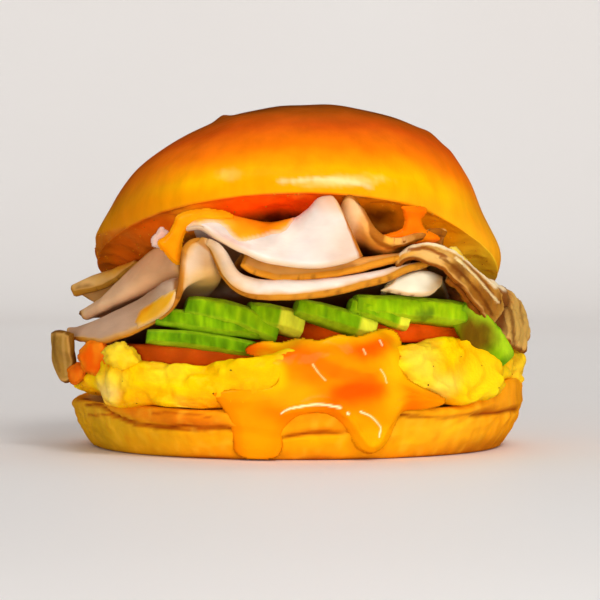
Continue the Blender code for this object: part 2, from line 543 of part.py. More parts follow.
def make_sauce(backing, material, collection):
    """Sauce: a film that lies over the front of the egg and runs down the bottom bun in drips."""
    graph = bpy.context.evaluated_depsgraph_get()
    trees = [BVHTree.FromObject(item, graph) for item in backing]
    xs = np.linspace(SAUCE_LEFT, SAUCE_RIGHT, SAUCE_COLUMNS)
    tops = np.interp(xs, *zip(*SAUCE_TOP))
    bottoms = np.interp(xs, *zip(*SAUCE_BOTTOM))
    shares = np.linspace(0.0, 1.0, SAUCE_ROWS)
    reach_x = xs[1] - xs[0]
    reach_z = float(np.max(tops - bottoms)) / (SAUCE_ROWS - 1)
    window = np.linspace(-1.0, 1.0, 5)
    depth = np.zeros((SAUCE_COLUMNS, SAUCE_ROWS))
    for i, x in enumerate(xs):
        for j, share in enumerate(shares):
            z = bottoms[i] + (tops[i] - bottoms[i]) * share
            around = [(x + a * reach_x, z + b * reach_z) for a in window for b in window]
            depths = [front_depth(trees, a * MM, max(b, SAUCE_FLOOR_CLEARANCE) * MM) for a, b in around]
            depths = [value for value in depths if value is not None]
            depth[i, j] = min(depths) if depths else depth[i, j - 1]
    bm = bmesh.new()
    bmesh.ops.create_grid(bm, x_segments=SAUCE_COLUMNS - 1, y_segments=SAUCE_ROWS - 1, size=1.0)
    for vertex in bm.verts:
        i = round((vertex.co.x + 1.0) * 0.5 * (SAUCE_COLUMNS - 1))
        j = round((vertex.co.y + 1.0) * 0.5 * (SAUCE_ROWS - 1))
        z = bottoms[i] + (tops[i] - bottoms[i]) * shares[j]
        vertex.co = (xs[i] * MM, depth[i, j] - GAP, z * MM)
    front = bmesh.ops.extrude_face_region(bm, geom=list(bm.faces))
    for vertex in (item for item in front["geom"] if isinstance(item, bmesh.types.BMVert)):
        column = np.interp(vertex.co.x / MM, xs, np.arange(SAUCE_COLUMNS))
        row = vertex.co.z / MM - np.interp(vertex.co.x / MM, xs, bottoms)
        height = np.interp(vertex.co.x / MM, xs, tops) - np.interp(vertex.co.x / MM, xs, bottoms)
        edge = min(column, SAUCE_COLUMNS - 1 - column) / SAUCE_SIDE_SLOPE
        edge = min(edge, SAUCE_END_SLOPE * (1.0 - row / height), SAUCE_LIP + row / SAUCE_END_SLOPE)
        round_edge = smoothstep(0.0, 1.0, edge)
        vertex.co.y -= SAUCE_EDGE + (SAUCE_THICKNESS - SAUCE_EDGE) * round_edge
    return add_object("sauce", mesh_from(bm, "sauce"), material, collection)


def remove_cutters(cutters):
    """Remove the cutters, whose cuts are already worked into the pieces."""
    for cutter in list(cutters.objects):
        bpy.data.objects.remove(cutter, do_unlink=True)
    bpy.data.collections.remove(cutters)


def centre_on_base(collection):
    """Move every piece so that the middle of the whole sandwich's box stands over the origin."""
    points = np.array([vertex.co for item in collection.objects for vertex in solid_mesh(item).vertices])
    middle = 0.5 * (points.min(axis=0) + points.max(axis=0))
    for item in collection.objects:
        item.location = (-middle[0], -middle[1], 0.0)


def main():
    """Build the sandwich from the bottom bun up."""
    clear_scene()
    sandwich = bpy.data.collections.new("breakfast_sandwich")
    cutters = bpy.data.collections.new("cutters")
    bpy.context.scene.collection.children.link(sandwich)
    bpy.context.scene.collection.children.link(cutters)
    crust = make_material("golden crust", (0.80, 0.36, 0.05), 0.35, 0.3)
    yolk = make_material("scrambled egg", (0.98, 0.62, 0.02), 0.40)
    red = make_material("tomato", (0.60, 0.10, 0.01), 0.30)
    flesh = make_material("avocado flesh", (0.35, 0.50, 0.03), 0.45)
    meat = make_material("sliced turkey", (0.88, 0.70, 0.56), 0.50)
    glaze = make_material("orange sauce", (0.95, 0.30, 0.01), 0.20, 0.6)
    heel = make_heel(crust, sandwich)
    crown = make_crown(crust, sandwich)
    egg = make_egg(yolk, sandwich)
    tomatoes = [make_tomato(f"tomato_slice_{number}", size, red, sandwich)
                for number, size in enumerate(TOMATO_SLICES, 1)]
    turkey = [make_turkey(f"turkey_slice_{number}", shape, meat, sandwich)
              for number, shape in enumerate(TURKEY_SLICES, 1)]
    avocado = [make_avocado(f"avocado_slice_{number}", shape, flesh, sandwich)
               for number, shape in enumerate(AVOCADO_SLICES, 1)]
    beside_tomato = rooms_for(tomatoes, cutters)
    beside_turkey = rooms_for(turkey, cutters)
    beside_avocado = rooms_for(avocado, cutters)
    carve(egg, rooms_for([heel], cutters) + beside_tomato)
    round_avocado = rooms_for([egg], cutters) + beside_tomato + beside_turkey
    for number, piece in enumerate(avocado):
        carve(piece, round_avocado + beside_avocado[:number])
    carve(crown, beside_turkey)
    make_sauce([heel, egg], glaze, sandwich)
    remove_cutters(cutters)
    centre_on_base(sandwich)


main()
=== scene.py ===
"""Looks of the breakfast sandwich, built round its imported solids.

Lengths are millimetres in the sandwich's own layout, with the open front facing -Y. SHIFT moves them to the
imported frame, whose origin is the middle of the flat base.
"""

from __future__ import annotations

import logging
import math
from dataclasses import dataclass, field
from enum import Enum

import bmesh
import bpy
import numpy as np
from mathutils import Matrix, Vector, noise
from mathutils.bvhtree import BVHTree


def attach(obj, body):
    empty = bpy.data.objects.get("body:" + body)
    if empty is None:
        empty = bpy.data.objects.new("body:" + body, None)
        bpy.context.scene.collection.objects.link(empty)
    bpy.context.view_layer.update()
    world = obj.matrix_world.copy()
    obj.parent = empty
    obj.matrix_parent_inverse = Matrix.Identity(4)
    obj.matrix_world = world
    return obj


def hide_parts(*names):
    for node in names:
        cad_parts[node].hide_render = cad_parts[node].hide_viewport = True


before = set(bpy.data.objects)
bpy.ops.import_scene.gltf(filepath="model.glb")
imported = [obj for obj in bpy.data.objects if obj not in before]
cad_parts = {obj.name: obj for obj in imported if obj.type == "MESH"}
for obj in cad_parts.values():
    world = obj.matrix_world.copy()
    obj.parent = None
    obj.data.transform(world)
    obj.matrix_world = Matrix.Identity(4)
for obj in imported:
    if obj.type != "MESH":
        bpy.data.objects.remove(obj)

LOG = logging.getLogger("sandwich")

# One millimetre in metres, and the way from the sandwich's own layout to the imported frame.
MM = 0.001
SHIFT = np.array([1.741, 1.228, 0.0])
# A full and a quarter circle in radians.
FULL_TURN = 2.0 * math.pi
QUARTER_TURN = 0.5 * math.pi
# A distance beyond everything, and the least divisor.
FAR = 1e9
TINY = 1e-9
# Points that a spline sets from one knot to the next.
SPLINE_STEPS = 12
# Marks are placed as seen from the front, and end at this y.
MARKS_END_Y = 6.0
# A film's hidden side lies this deep in what carries it.
FILM_SINK = 0.3
# Sets points down on the table, so that noise doesn't change with height.
LEVEL = np.array([1.0, 1.0, 0.0])

# A line seen from the front (x and z), a line in space, a colour ramp, and faces as numbers of their points.
Path = tuple[tuple[float, float], ...]
Rail = tuple[tuple[float, float, float], ...]
Stops = tuple[tuple[float, str], ...]
Faces = list[tuple[int, ...]]


class Slot(Enum):
    """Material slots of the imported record."""

    CRUST = "bun_crust"
    EGG = "scrambled_egg"
    TOMATO = "tomato"
    AVOCADO = "avocado"
    TURKEY = "turkey"
    SAUCE = "orange_sauce"


def linear(colour: str) -> np.ndarray:
    """Turn an sRGB hex colour to linear light.

    Args:
        colour: six hex digits.

    Returns:
        Red, green and blue, from 0 to 1.
    """
    parts = np.array([int(colour[i:i + 2], 16) / 255.0 for i in (0, 2, 4)])
    return np.where(parts <= 0.04045, parts / 12.92, ((parts + 0.055) / 1.055) ** 2.4)


def rgba(colour: str) -> tuple[float, ...]:
    """Return an sRGB hex colour as linear RGBA."""
    return (*linear(colour), 1.0)


def add_node(tree: bpy.types.NodeTree, kind: str, settings: dict | None = None,
             links: dict | None = None) -> bpy.types.Node:
    """Add a node with its settings and links.

    Args:
        tree: the tree that gets it.
        kind: the node's type.
        settings: properties by name, inputs by name or number, and "stops" for a colour ramp.
        links: sockets that feed its inputs, by name or number.

    Returns:
        The new node.
    """
    node = tree.nodes.new(kind)
    for key, value in (settings or {}).items():
        if key == "stops":
            band = node.color_ramp
            while len(band.elements) > 1:
                band.elements.remove(band.elements[-1])
            for number, (place, colour) in enumerate(value):
                stop = band.elements[0] if number == 0 else band.elements.new(place)
                stop.position = place
                stop.color = rgba(colour)
        elif isinstance(key, int) or key in node.inputs:
            node.inputs[key].default_value = value
        else:
            setattr(node, key, value)
    for key, socket in (links or {}).items():
        tree.links.new(socket, node.inputs[key])
    return node


def place_object(name: str, data: bpy.types.ID) -> bpy.types.Object:
    """Put an object with the given data in the scene.

    Args:
        name: of the object.
        data: its mesh, light or camera.

    Returns:
        The object.
    """
    item = bpy.data.objects.new(name, data)
    bpy.context.scene.collection.objects.link(item)
    return item


def new_material(name: str) -> tuple[bpy.types.Material, bpy.types.NodeTree, bpy.types.Node]:
    """Make a material.

    Args:
        name: what it is.

    Returns:
        The material, its node tree and its Principled shader.
    """
    material = bpy.data.materials.new(name)
    material.use_nodes = True
    return material, material.node_tree, material.node_tree.nodes["Principled BSDF"]


def smoothstep(low: float, high: float, value: np.ndarray) -> np.ndarray:
    """Rise smoothly from 0 at `low` to 1 at `high`."""
    t = np.clip((np.asarray(value, dtype=float) - low) / (high - low), 0.0, 1.0)
    return t * t * (3.0 - 2.0 * t)


def bell(distance: np.ndarray, reach: float | np.ndarray) -> np.ndarray:
    """Fall smoothly from 1 at no distance towards 0 beyond the reach."""
    return np.exp(-(distance / reach) ** 2)


def round_edge(share: np.ndarray) -> np.ndarray:
    """Rise like a quarter circle, from 0 at a share of 0 to 1 at a share of 1."""
    return np.sqrt(1.0 - (1.0 - np.clip(share, 0.0, 1.0)) ** 2)


def around(count: int) -> np.ndarray:
    """Return evenly spaced angles round a full circle."""
    return np.linspace(0.0, FULL_TURN, count, endpoint=False)


def outward(turn: np.ndarray) -> np.ndarray:
    """Return level unit vectors that point away from the middle, one for each angle."""
    return np.stack([np.cos(turn), np.sin(turn), np.zeros_like(turn)], axis=-1)


def rotate(points: np.ndarray, axis: int, angle: float) -> np.ndarray:
    """Turn points about an axis through the origin.

    Args:
        points: the last axis x, y and z.
        axis: 0 for x, 1 for y and 2 for z.
        angle: in radians.

    Returns:
        The turned points.
    """
    a, b = (axis + 1) % 3, (axis + 2) % 3
    turned = points.copy()
    turned[..., a] = math.cos(angle) * points[..., a] - math.sin(angle) * points[..., b]
    turned[..., b] = math.sin(angle) * points[..., a] + math.cos(angle) * points[..., b]
    return turned


def noise_at(points: np.ndarray, size: float, seed: float) -> np.ndarray:
    """Smooth noise at many points.

    Args:
        points: places, the last axis x, y and z.
        size: the length over which it changes.
        seed: picks the pattern.

    Returns:
        Values between about -1 and 1, one for each point.
    """
    flat = (points.reshape(-1, 3) / size + np.array([seed, -seed, 0.5 * seed])).tolist()
    return np.array([noise.noise(place) for place in flat]).reshape(points.shape[:-1])


def folds_at(points: np.ndarray, size: float, seed: float) -> np.ndarray:
    """Noise with round tops and sharp creases, from about -0.65 to 1.5, zero on average."""
    return 3.2 * np.abs(noise_at(points, size, seed)) - 0.65


@dataclass(frozen=True)
class Ripple:
    """Noise with a strength, the length over which it changes and a seed that picks its pattern."""

    strength: float
    size: float
    seed: float

    def smooth(self, points: np.ndarray) -> np.ndarray:
        """Return smooth noise at each point."""
        return self.strength * noise_at(points, self.size, self.seed)

    def folded(self, points: np.ndarray) -> np.ndarray:
        """Return noise with round tops and sharp creases at each point."""
        return self.strength * folds_at(points, self.size, self.seed)


def spline(knots: np.ndarray, count: int, even: bool = True) -> np.ndarray:
    """Follow a smooth curve through the knots.

    Args:
        knots: the points that it passes.
        count: how many points to return.
        even: whether they are evenly spaced or go knot by knot.

    Returns:
        The points, one a row.
    """
    points = np.asarray(knots, dtype=float)
    padded = np.vstack([2 * points[0] - points[1], points, 2 * points[-1] - points[-2]])
    dense = []
    for i in range(len(points) - 1):
        a, b, c, d = padded[i:i + 4]
        for t in np.linspace(0.0, 1.0, SPLINE_STEPS, endpoint=False):
            dense.append(0.5 * (2 * b + (c - a) * t + (2 * a - 5 * b + 4 * c - d) * t ** 2
                                + (3 * b - a - 3 * c + d) * t ** 3))
    dense.append(points[-1])
    dense = np.array(dense)
    run = np.arange(len(dense), dtype=float)
    if even:
        run = np.concatenate([[0.0], np.cumsum(np.linalg.norm(np.diff(dense, axis=0), axis=1))])
    steps = np.linspace(0.0, run[-1], count)
    return np.column_stack([np.interp(steps, run, dense[:, k]) for k in range(dense.shape[1])])


def closed_spline(outline: Path, count: int) -> np.ndarray:
    """Follow a smooth closed curve through an outline; its first point isn't repeated at the end."""
    return spline(np.array(outline + outline[:1]), count)[:-1]


def grid_normals(surface: np.ndarray) -> np.ndarray:
    """Return unit normals of a grid of points with rows, columns and x, y, z."""
    normal = np.cross(np.gradient(surface, axis=1), np.gradient(surface, axis=0))
    return normal / np.maximum(np.linalg.norm(normal, axis=2, keepdims=True), TINY)


def grid_faces(rows: int, columns: int, wrap: bool = False, start: int = 0) -> Faces:
    """List the four-sided faces of a grid.

    Args:
        rows: points one way.
        columns: points the other way.
        wrap: whether the last column meets the first.
        start: number of the first point.

    Returns:
        The point numbers of each face.
    """
    faces = []
    for i in range(rows - 1):
        for j in range(columns if wrap else columns - 1):
            k = (j + 1) % columns
            faces.append(tuple(start + n for n in (i * columns + j, i * columns + k,
                                                   (i + 1) * columns + k, (i + 1) * columns + j)))
    return faces


def closed_rings(rings: np.ndarray) -> tuple[np.ndarray, Faces]:
    """Close a stack of rings into a body.

    Args:
        rings: rows of ring points; the first and last ring each close on their middle.

    Returns:
        The points, the two middles last, and the faces.
    """
    rows, columns = rings.shape[:2]
    points = np.vstack([rings.reshape(-1, 3), rings[0].mean(axis=0), rings[-1].mean(axis=0)])
    faces = grid_faces(rows, columns, wrap=True)
    for j in range(columns):
        k = (j + 1) % columns
        faces.append((rows * columns, k, j))
        faces.append((rows * columns + 1, (rows - 1) * columns + j, (rows - 1) * columns + k))
    return points, faces


def ring_values(values: np.ndarray) -> np.ndarray:
    """Match values on rings to the points of closed_rings, the two middles last."""
    flat = values.reshape(-1, *values.shape[2:])
    return np.concatenate([flat, values[0].mean(axis=0)[None], values[-1].mean(axis=0)[None]])


def sheet_body(surface: np.ndarray, thickness: np.ndarray) -> tuple[np.ndarray, Faces]:
    """Give a grid of points a thickness and close it.

    Args:
        surface: the middle of the sheet, rows by columns.
        thickness: at each point.

    Returns:
        The points, upper side first, and the faces.
    """
    rows, columns = surface.shape[:2]
    half = 0.5 * thickness[..., None] * grid_normals(surface)
    points = np.vstack([(surface + half).reshape(-1, 3), (surface - half).reshape(-1, 3)])
    under = rows * columns
    faces = grid_faces(rows, columns)
    faces += [face[::-1] for face in grid_faces(rows, columns, start=under)]
    border = list(range(columns))
    border += [i * columns + columns - 1 for i in range(1, rows)]
    border += [(rows - 1) * columns + j for j in range(columns - 2, -1, -1)]
    border += [i * columns for i in range(rows - 2, 0, -1)]
    for a, b in zip(border, border[1:] + border[:1]):
        faces.append((a, a + under, b + under, b))
    return points, faces


def film_body(surface: np.ndarray, normal: np.ndarray,
              thickness: np.ndarray) -> tuple[np.ndarray, Faces, np.ndarray]:
    """Lay a film on a grid of points, where its thickness is above zero.

    Args:
        surface: what it lies on, rows by columns.
        normal: away from that, at each point.
        thickness: of the film; below zero where there is none.

    Returns:
        The points, the faces and which grid points the points came from.
    """
    rows, columns = thickness.shape
    thick = np.maximum(thickness, -FILM_SINK)
    outer = surface + normal * thick[..., None]
    inner = surface - normal * FILM_SINK
    wet = (thick > -FILM_SINK + 1e-6).reshape(-1)
    points = np.vstack([outer.reshape(-1, 3), inner.reshape(-1, 3)])
    upper = [face for face in grid_faces(rows, columns) if wet[list(face)].any()]
    faces = upper + [tuple(n + rows * columns for n in face[::-1]) for face in upper]
    source = np.tile(np.arange(rows * columns), 2)
    return points, faces, source


def segment_gap(x: np.ndarray, z: np.ndarray, start: np.ndarray, end: np.ndarray) -> np.ndarray:
    """Measure how far points lie from a straight segment.

    Args:
        x: across.
        z: up.
        start: one end of the segment.
        end: its other end.

    Returns:
        The distances.
    """
    (ax, az), (dx, dz) = start, end - start
    t = np.clip(((x - ax) * dx + (z - az) * dz) / max(dx * dx + dz * dz, TINY), 0.0, 1.0)
    return np.hypot(x - ax - t * dx, z - az - t * dz)


def inside_distance(x: np.ndarray, z: np.ndarray, outline: np.ndarray) -> np.ndarray:
    """Measure how far points lie inside a closed outline.

    Args:
        x: across.
        z: up.
        outline: corner points, one a row.

    Returns:
        Distance to the outline, below zero outside it.
    """
    best = np.full(x.shape, FAR)
    inside = np.zeros(x.shape, dtype=bool)
    for start, end in zip(outline, np.roll(outline, -1, axis=0)):
        best = np.minimum(best, segment_gap(x, z, start, end))
        (ax, az), (dx, dz) = start, end - start
        crosses = (az > z) != (end[1] > z)
        inside ^= crosses & (x < ax + (z - az) * dx / (dz if dz else TINY))
    return np.where(inside, best, -best)


@dataclass(frozen=True)
class Patch:
    """A soft-edged spot of colour, seen from the front: its place, half sizes and turn, and its colour."""

    x: float
    z: float
    wide: float
    high: float
    colour: str
    strength: float = 1.0
    turn: float = 0.0
    soft: float = 0.5
    ragged: float = 0.25

    def mask(self, points: np.ndarray) -> np.ndarray:
        """Say how strongly it covers each point.

        Args:
            points: places on the piece.

        Returns:
            Cover from 0 to the patch's strength; none on the back half.
        """
        c, s = math.cos(math.radians(self.turn)), math.sin(math.radians(self.turn))
        dx, dz = points[..., 0] - self.x, points[..., 2] - self.z
        along, across = (dx * c + dz * s) / self.wide, (dz * c - dx * s) / self.high
        size = min(self.wide, self.high)
        reach = np.hypot(along, across) + self.ragged * noise_at(points, max(1.2, size), self.x)
        cover = 1.0 - smoothstep(1.0 - self.soft, 1.0 + self.soft, reach)
        return self.strength * cover * (points[..., 1] < MARKS_END_Y)


@dataclass(frozen=True)
class Stroke:
    """A soft line of colour along a path seen from the front."""

    path: Path
    wide: float
    colour: str
    strength: float = 1.0
    soft: float = 0.5
    ragged: float = 0.3

    def mask(self, points: np.ndarray) -> np.ndarray:
        """Say how strongly it covers each point.

        Args:
            points: places on the piece.

        Returns:
            Cover from 0 to the stroke's strength; none on the back half.
        """
        line = spline(np.array(self.path), 5 * len(self.path))
        gap = np.full(points.shape[:-1], FAR)
        for start, end in zip(line[:-1], line[1:]):
            gap = np.minimum(gap, segment_gap(points[..., 0], points[..., 2], start, end))
        reach = gap / self.wide + self.ragged * noise_at(points, max(1.0, 2.0 * self.wide), self.wide)
        cover = 1.0 - smoothstep(1.0 - self.soft, 1.0 + self.soft, reach)
        return self.strength * cover * (points[..., 1] < MARKS_END_Y)


Marks = tuple[Patch | Stroke, ...]


def mix(base: np.ndarray, colour: str | np.ndarray, share: np.ndarray) -> np.ndarray:
    """Blend a colour over others.

    Args:
        base: linear colours, one for each point.
        colour: a hex colour, or linear colours for each point.
        share: how much of it each point gets, from 0 to 1.

    Returns:
        The blended linear colours.
    """
    other = linear(colour) if isinstance(colour, str) else colour
    share = np.clip(share, 0.0, 1.0)[..., None]
    return base * (1.0 - share) + other * share


def ramp(value: np.ndarray, stops: Stops) -> np.ndarray:
    """Read colours off a ramp.

    Args:
        value: where on the ramp, for each point.
        stops: places and hex colours, in order.

    Returns:
        Linear colours.
    """
    places = [place for place, _ in stops]
    colours = np.array([linear(colour) for _, colour in stops])
    return np.stack([np.interp(value, places, colours[:, k]) for k in range(3)], axis=-1)


def paint(points: np.ndarray, base: np.ndarray, marks: Marks) -> np.ndarray:
    """Lay patches and strokes over base colours, in order.

    Args:
        points: places on the piece.
        base: linear colours, one for each point.
        marks: what is laid over them.

    Returns:
        The painted linear colours.
    """
    for mark in marks:
        base = mix(base, mark.colour, mark.mask(points))
    return base


def set_tint(mesh: bpy.types.Mesh, tint: np.ndarray) -> None:
    """Store a linear colour for each point of a mesh under the name "tint"."""
    layer = mesh.color_attributes.new("tint", "FLOAT_COLOR", "POINT")
    layer.data.foreach_set("color", np.column_stack([tint, np.ones(len(tint))]).astype(np.float32).ravel())


def make_piece(name: str, points: np.ndarray, faces: Faces, tint: np.ndarray, finish: bpy.types.Material,
               nodes: tuple[str, ...] = (), values: dict[str, np.ndarray] | None = None,
               weld: bool = False, flat: float = 0.0) -> bpy.types.Object:
    """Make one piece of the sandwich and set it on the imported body.

    Args:
        name: of the piece.
        points: in millimetres.
        faces: point numbers of each face.
        tint: linear colour at each point.
        finish: its material.
        nodes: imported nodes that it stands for.
        values: more numbers for the material, by name.
        weld: whether points that coincide are merged.
        flat: angle in degrees above which an edge is sharp, or 0 for none.

    Returns:
        The object.
    """
    mesh = bpy.data.meshes.new(name)
    mesh.from_pydata(((points + SHIFT) * MM).tolist(), [], [list(face) for face in faces])
    set_tint(mesh, tint)
    for key, numbers in (values or {}).items():
        mesh.attributes.new(key, "FLOAT", "POINT").data.foreach_set("value", numbers.astype(np.float32))
    bm = bmesh.new()
    bm.from_mesh(mesh)
    if weld:
        bmesh.ops.remove_doubles(bm, verts=bm.verts[:], dist=1e-6)
    loose = [vertex for vertex in bm.verts if not vertex.link_faces]
    bmesh.ops.delete(bm, geom=loose, context="VERTS")
    bmesh.ops.recalc_face_normals(bm, faces=bm.faces[:])
    bm.to_mesh(mesh)
    bm.free()
    mesh.shade_smooth()
    if flat:
        mesh.set_sharp_from_angle(angle=math.radians(flat))
    mesh.materials.append(finish)
    piece = place_object(name, mesh)
    dress(piece, nodes)
    return piece


def dress(piece: bpy.types.Object, nodes: tuple[str, ...] = ()) -> None:
    """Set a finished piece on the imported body.

    Args:
        piece: the mesh object.
        nodes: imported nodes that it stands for.
    """
    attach(piece, "root")
    if nodes:
        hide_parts(*nodes)
    LOG.info("%s: %d faces", piece.name, len(piece.data.polygons))


@dataclass(frozen=True)
class Finish:
    """A food surface: its colour comes from the piece's tint, broken up by noise, with fine relief.

    The mottle makes the colour lighter and darker by that share, and the roughness go up and down by its spread.
    Lengths end in _mm, and the soft light's radii are in metres.
    """

    name: str
    roughness: float
    grain_mm: float
    relief_mm: float
    mottle_mm: float
    mottle: float
    gloss: float
    stretch: tuple[float, float, float] = (1.0, 1.0, 1.0)
    coat: float = 0.0
    coat_roughness: float = 0.1
    soft_light: float = 0.0
    soft_radius: tuple[float, float, float] = (0.004, 0.002, 0.001)
    roughness_spread: float = 0.1
    index: float = 1.4

    def build(self) -> bpy.types.Material:
        """Build the material.

        Returns:
            A Principled material that reads the attribute "tint".
        """
        material, tree, shader = new_material(self.name)
        place = add_node(tree, "ShaderNodeTexCoord").outputs["Object"]
        stretched = add_node(tree, "ShaderNodeMapping", {"Scale": self.stretch}, {"Vector": place}).outputs[0]
        tint = add_node(tree, "ShaderNodeAttribute", {"attribute_name": "tint"}).outputs["Color"]
        mottle = add_node(tree, "ShaderNodeTexNoise", {"Scale": 1.0 / (self.mottle_mm * MM), "Detail": 3.0},
                          {"Vector": stretched}).outputs["Fac"]
        shade = add_node(tree, "ShaderNodeMapRange",
                         {"From Min": 0.3, "From Max": 0.7, "To Min": 1.0 - self.mottle, "To Max": 1.0 + self.mottle},
                         {"Value": mottle}).outputs[0]
        rough = add_node(tree, "ShaderNodeMapRange", {"To Min": self.roughness - self.roughness_spread,
                                                      "To Max": self.roughness + self.roughness_spread},
                         {"Value": mottle}).outputs[0]
        colour = add_node(tree, "ShaderNodeHueSaturation", None, {"Value": shade, "Color": tint}).outputs[0]
        grain = add_node(tree, "ShaderNodeTexNoise", {"Scale": 1.0 / (self.grain_mm * MM), "Detail": 4.0},
                         {"Vector": stretched}).outputs["Fac"]
        bump = add_node(tree, "ShaderNodeBump", {"Distance": self.relief_mm * MM}, {"Height": grain}).outputs[0]
        for label, socket in {"Base Color": colour, "Roughness": rough, "Normal": bump}.items():
            tree.links.new(socket, shader.inputs[label])
        settings = {"Specular IOR Level": self.gloss, "IOR": self.index, "Coat Weight": self.coat,
                    "Coat Roughness": self.coat_roughness, "Subsurface Weight": self.soft_light,
                    "Subsurface Radius": self.soft_radius, "Subsurface Scale": 1.0}
        for label, value in settings.items():
            shader.inputs[label].default_value = value
        return material


# Brioche crust, egg-washed and baked: a smooth skin with fine wrinkles that mirrors broad lights softly.
CRUST = Finish("egg-washed brioche crust", roughness=0.36, grain_mm=1.3, relief_mm=0.10, mottle_mm=5.0,
               mottle=0.10, stretch=(1.0, 1.0, 0.45), gloss=0.10, coat=0.02, coat_roughness=0.2, index=1.2)
# Soft scrambled egg: moist set curds, bright inside because light travels a few millimetres through them.
CURD = Finish("soft scrambled egg", roughness=0.34, grain_mm=1.1, relief_mm=0.22, mottle_mm=3.5, mottle=0.07,
              gloss=0.09, soft_light=0.2, soft_radius=(0.003, 0.0018, 0.0004))
# Cut tomato: wet flesh that lets red light through and mirrors lights sharply.
FLESH = Finish("wet cut tomato", roughness=0.25, grain_mm=1.5, relief_mm=0.12, mottle_mm=4.0, mottle=0.18,
               gloss=0.08, soft_light=0.2, soft_radius=(0.004, 0.001, 0.0003))
# Ripe avocado, sliced: smooth buttery flesh with faint knife streaks across each slice.
BUTTERY = Finish("cut ripe avocado", roughness=0.38, grain_mm=0.9, relief_mm=0.10, mottle_mm=2.6, mottle=0.16,
                 stretch=(1.6, 1.0, 0.6), gloss=0.09, soft_light=0.15, soft_radius=(0.001, 0.002, 0.0003))
# Oven-roasted turkey breast, thinly sliced: satin white meat with faint fibres.
MEAT = Finish("sliced roast turkey", roughness=0.42, grain_mm=0.9, relief_mm=0.09, mottle_mm=3.0, mottle=0.05,
              stretch=(0.5, 0.5, 1.4), gloss=0.12, soft_light=0.2, soft_radius=(0.003, 0.0015, 0.001))
# Orange cream sauce: thick, wet and smooth, so that it mirrors the lamp; the thin bright lines along its rim are
# painted highlights.
SAUCE = Finish("orange cream sauce", roughness=0.10, grain_mm=6.0, relief_mm=0.05, mottle_mm=6.0, mottle=0.05,
               gloss=0.13, soft_light=0.2, soft_radius=(0.004, 0.0018, 0.0003), roughness_spread=0.03)
# The finish of each slot.
FINISHES = {Slot.CRUST: CRUST, Slot.EGG: CURD, Slot.TOMATO: FLESH, Slot.AVOCADO: BUTTERY, Slot.TURKEY: MEAT,
            Slot.SAUCE: SAUCE}


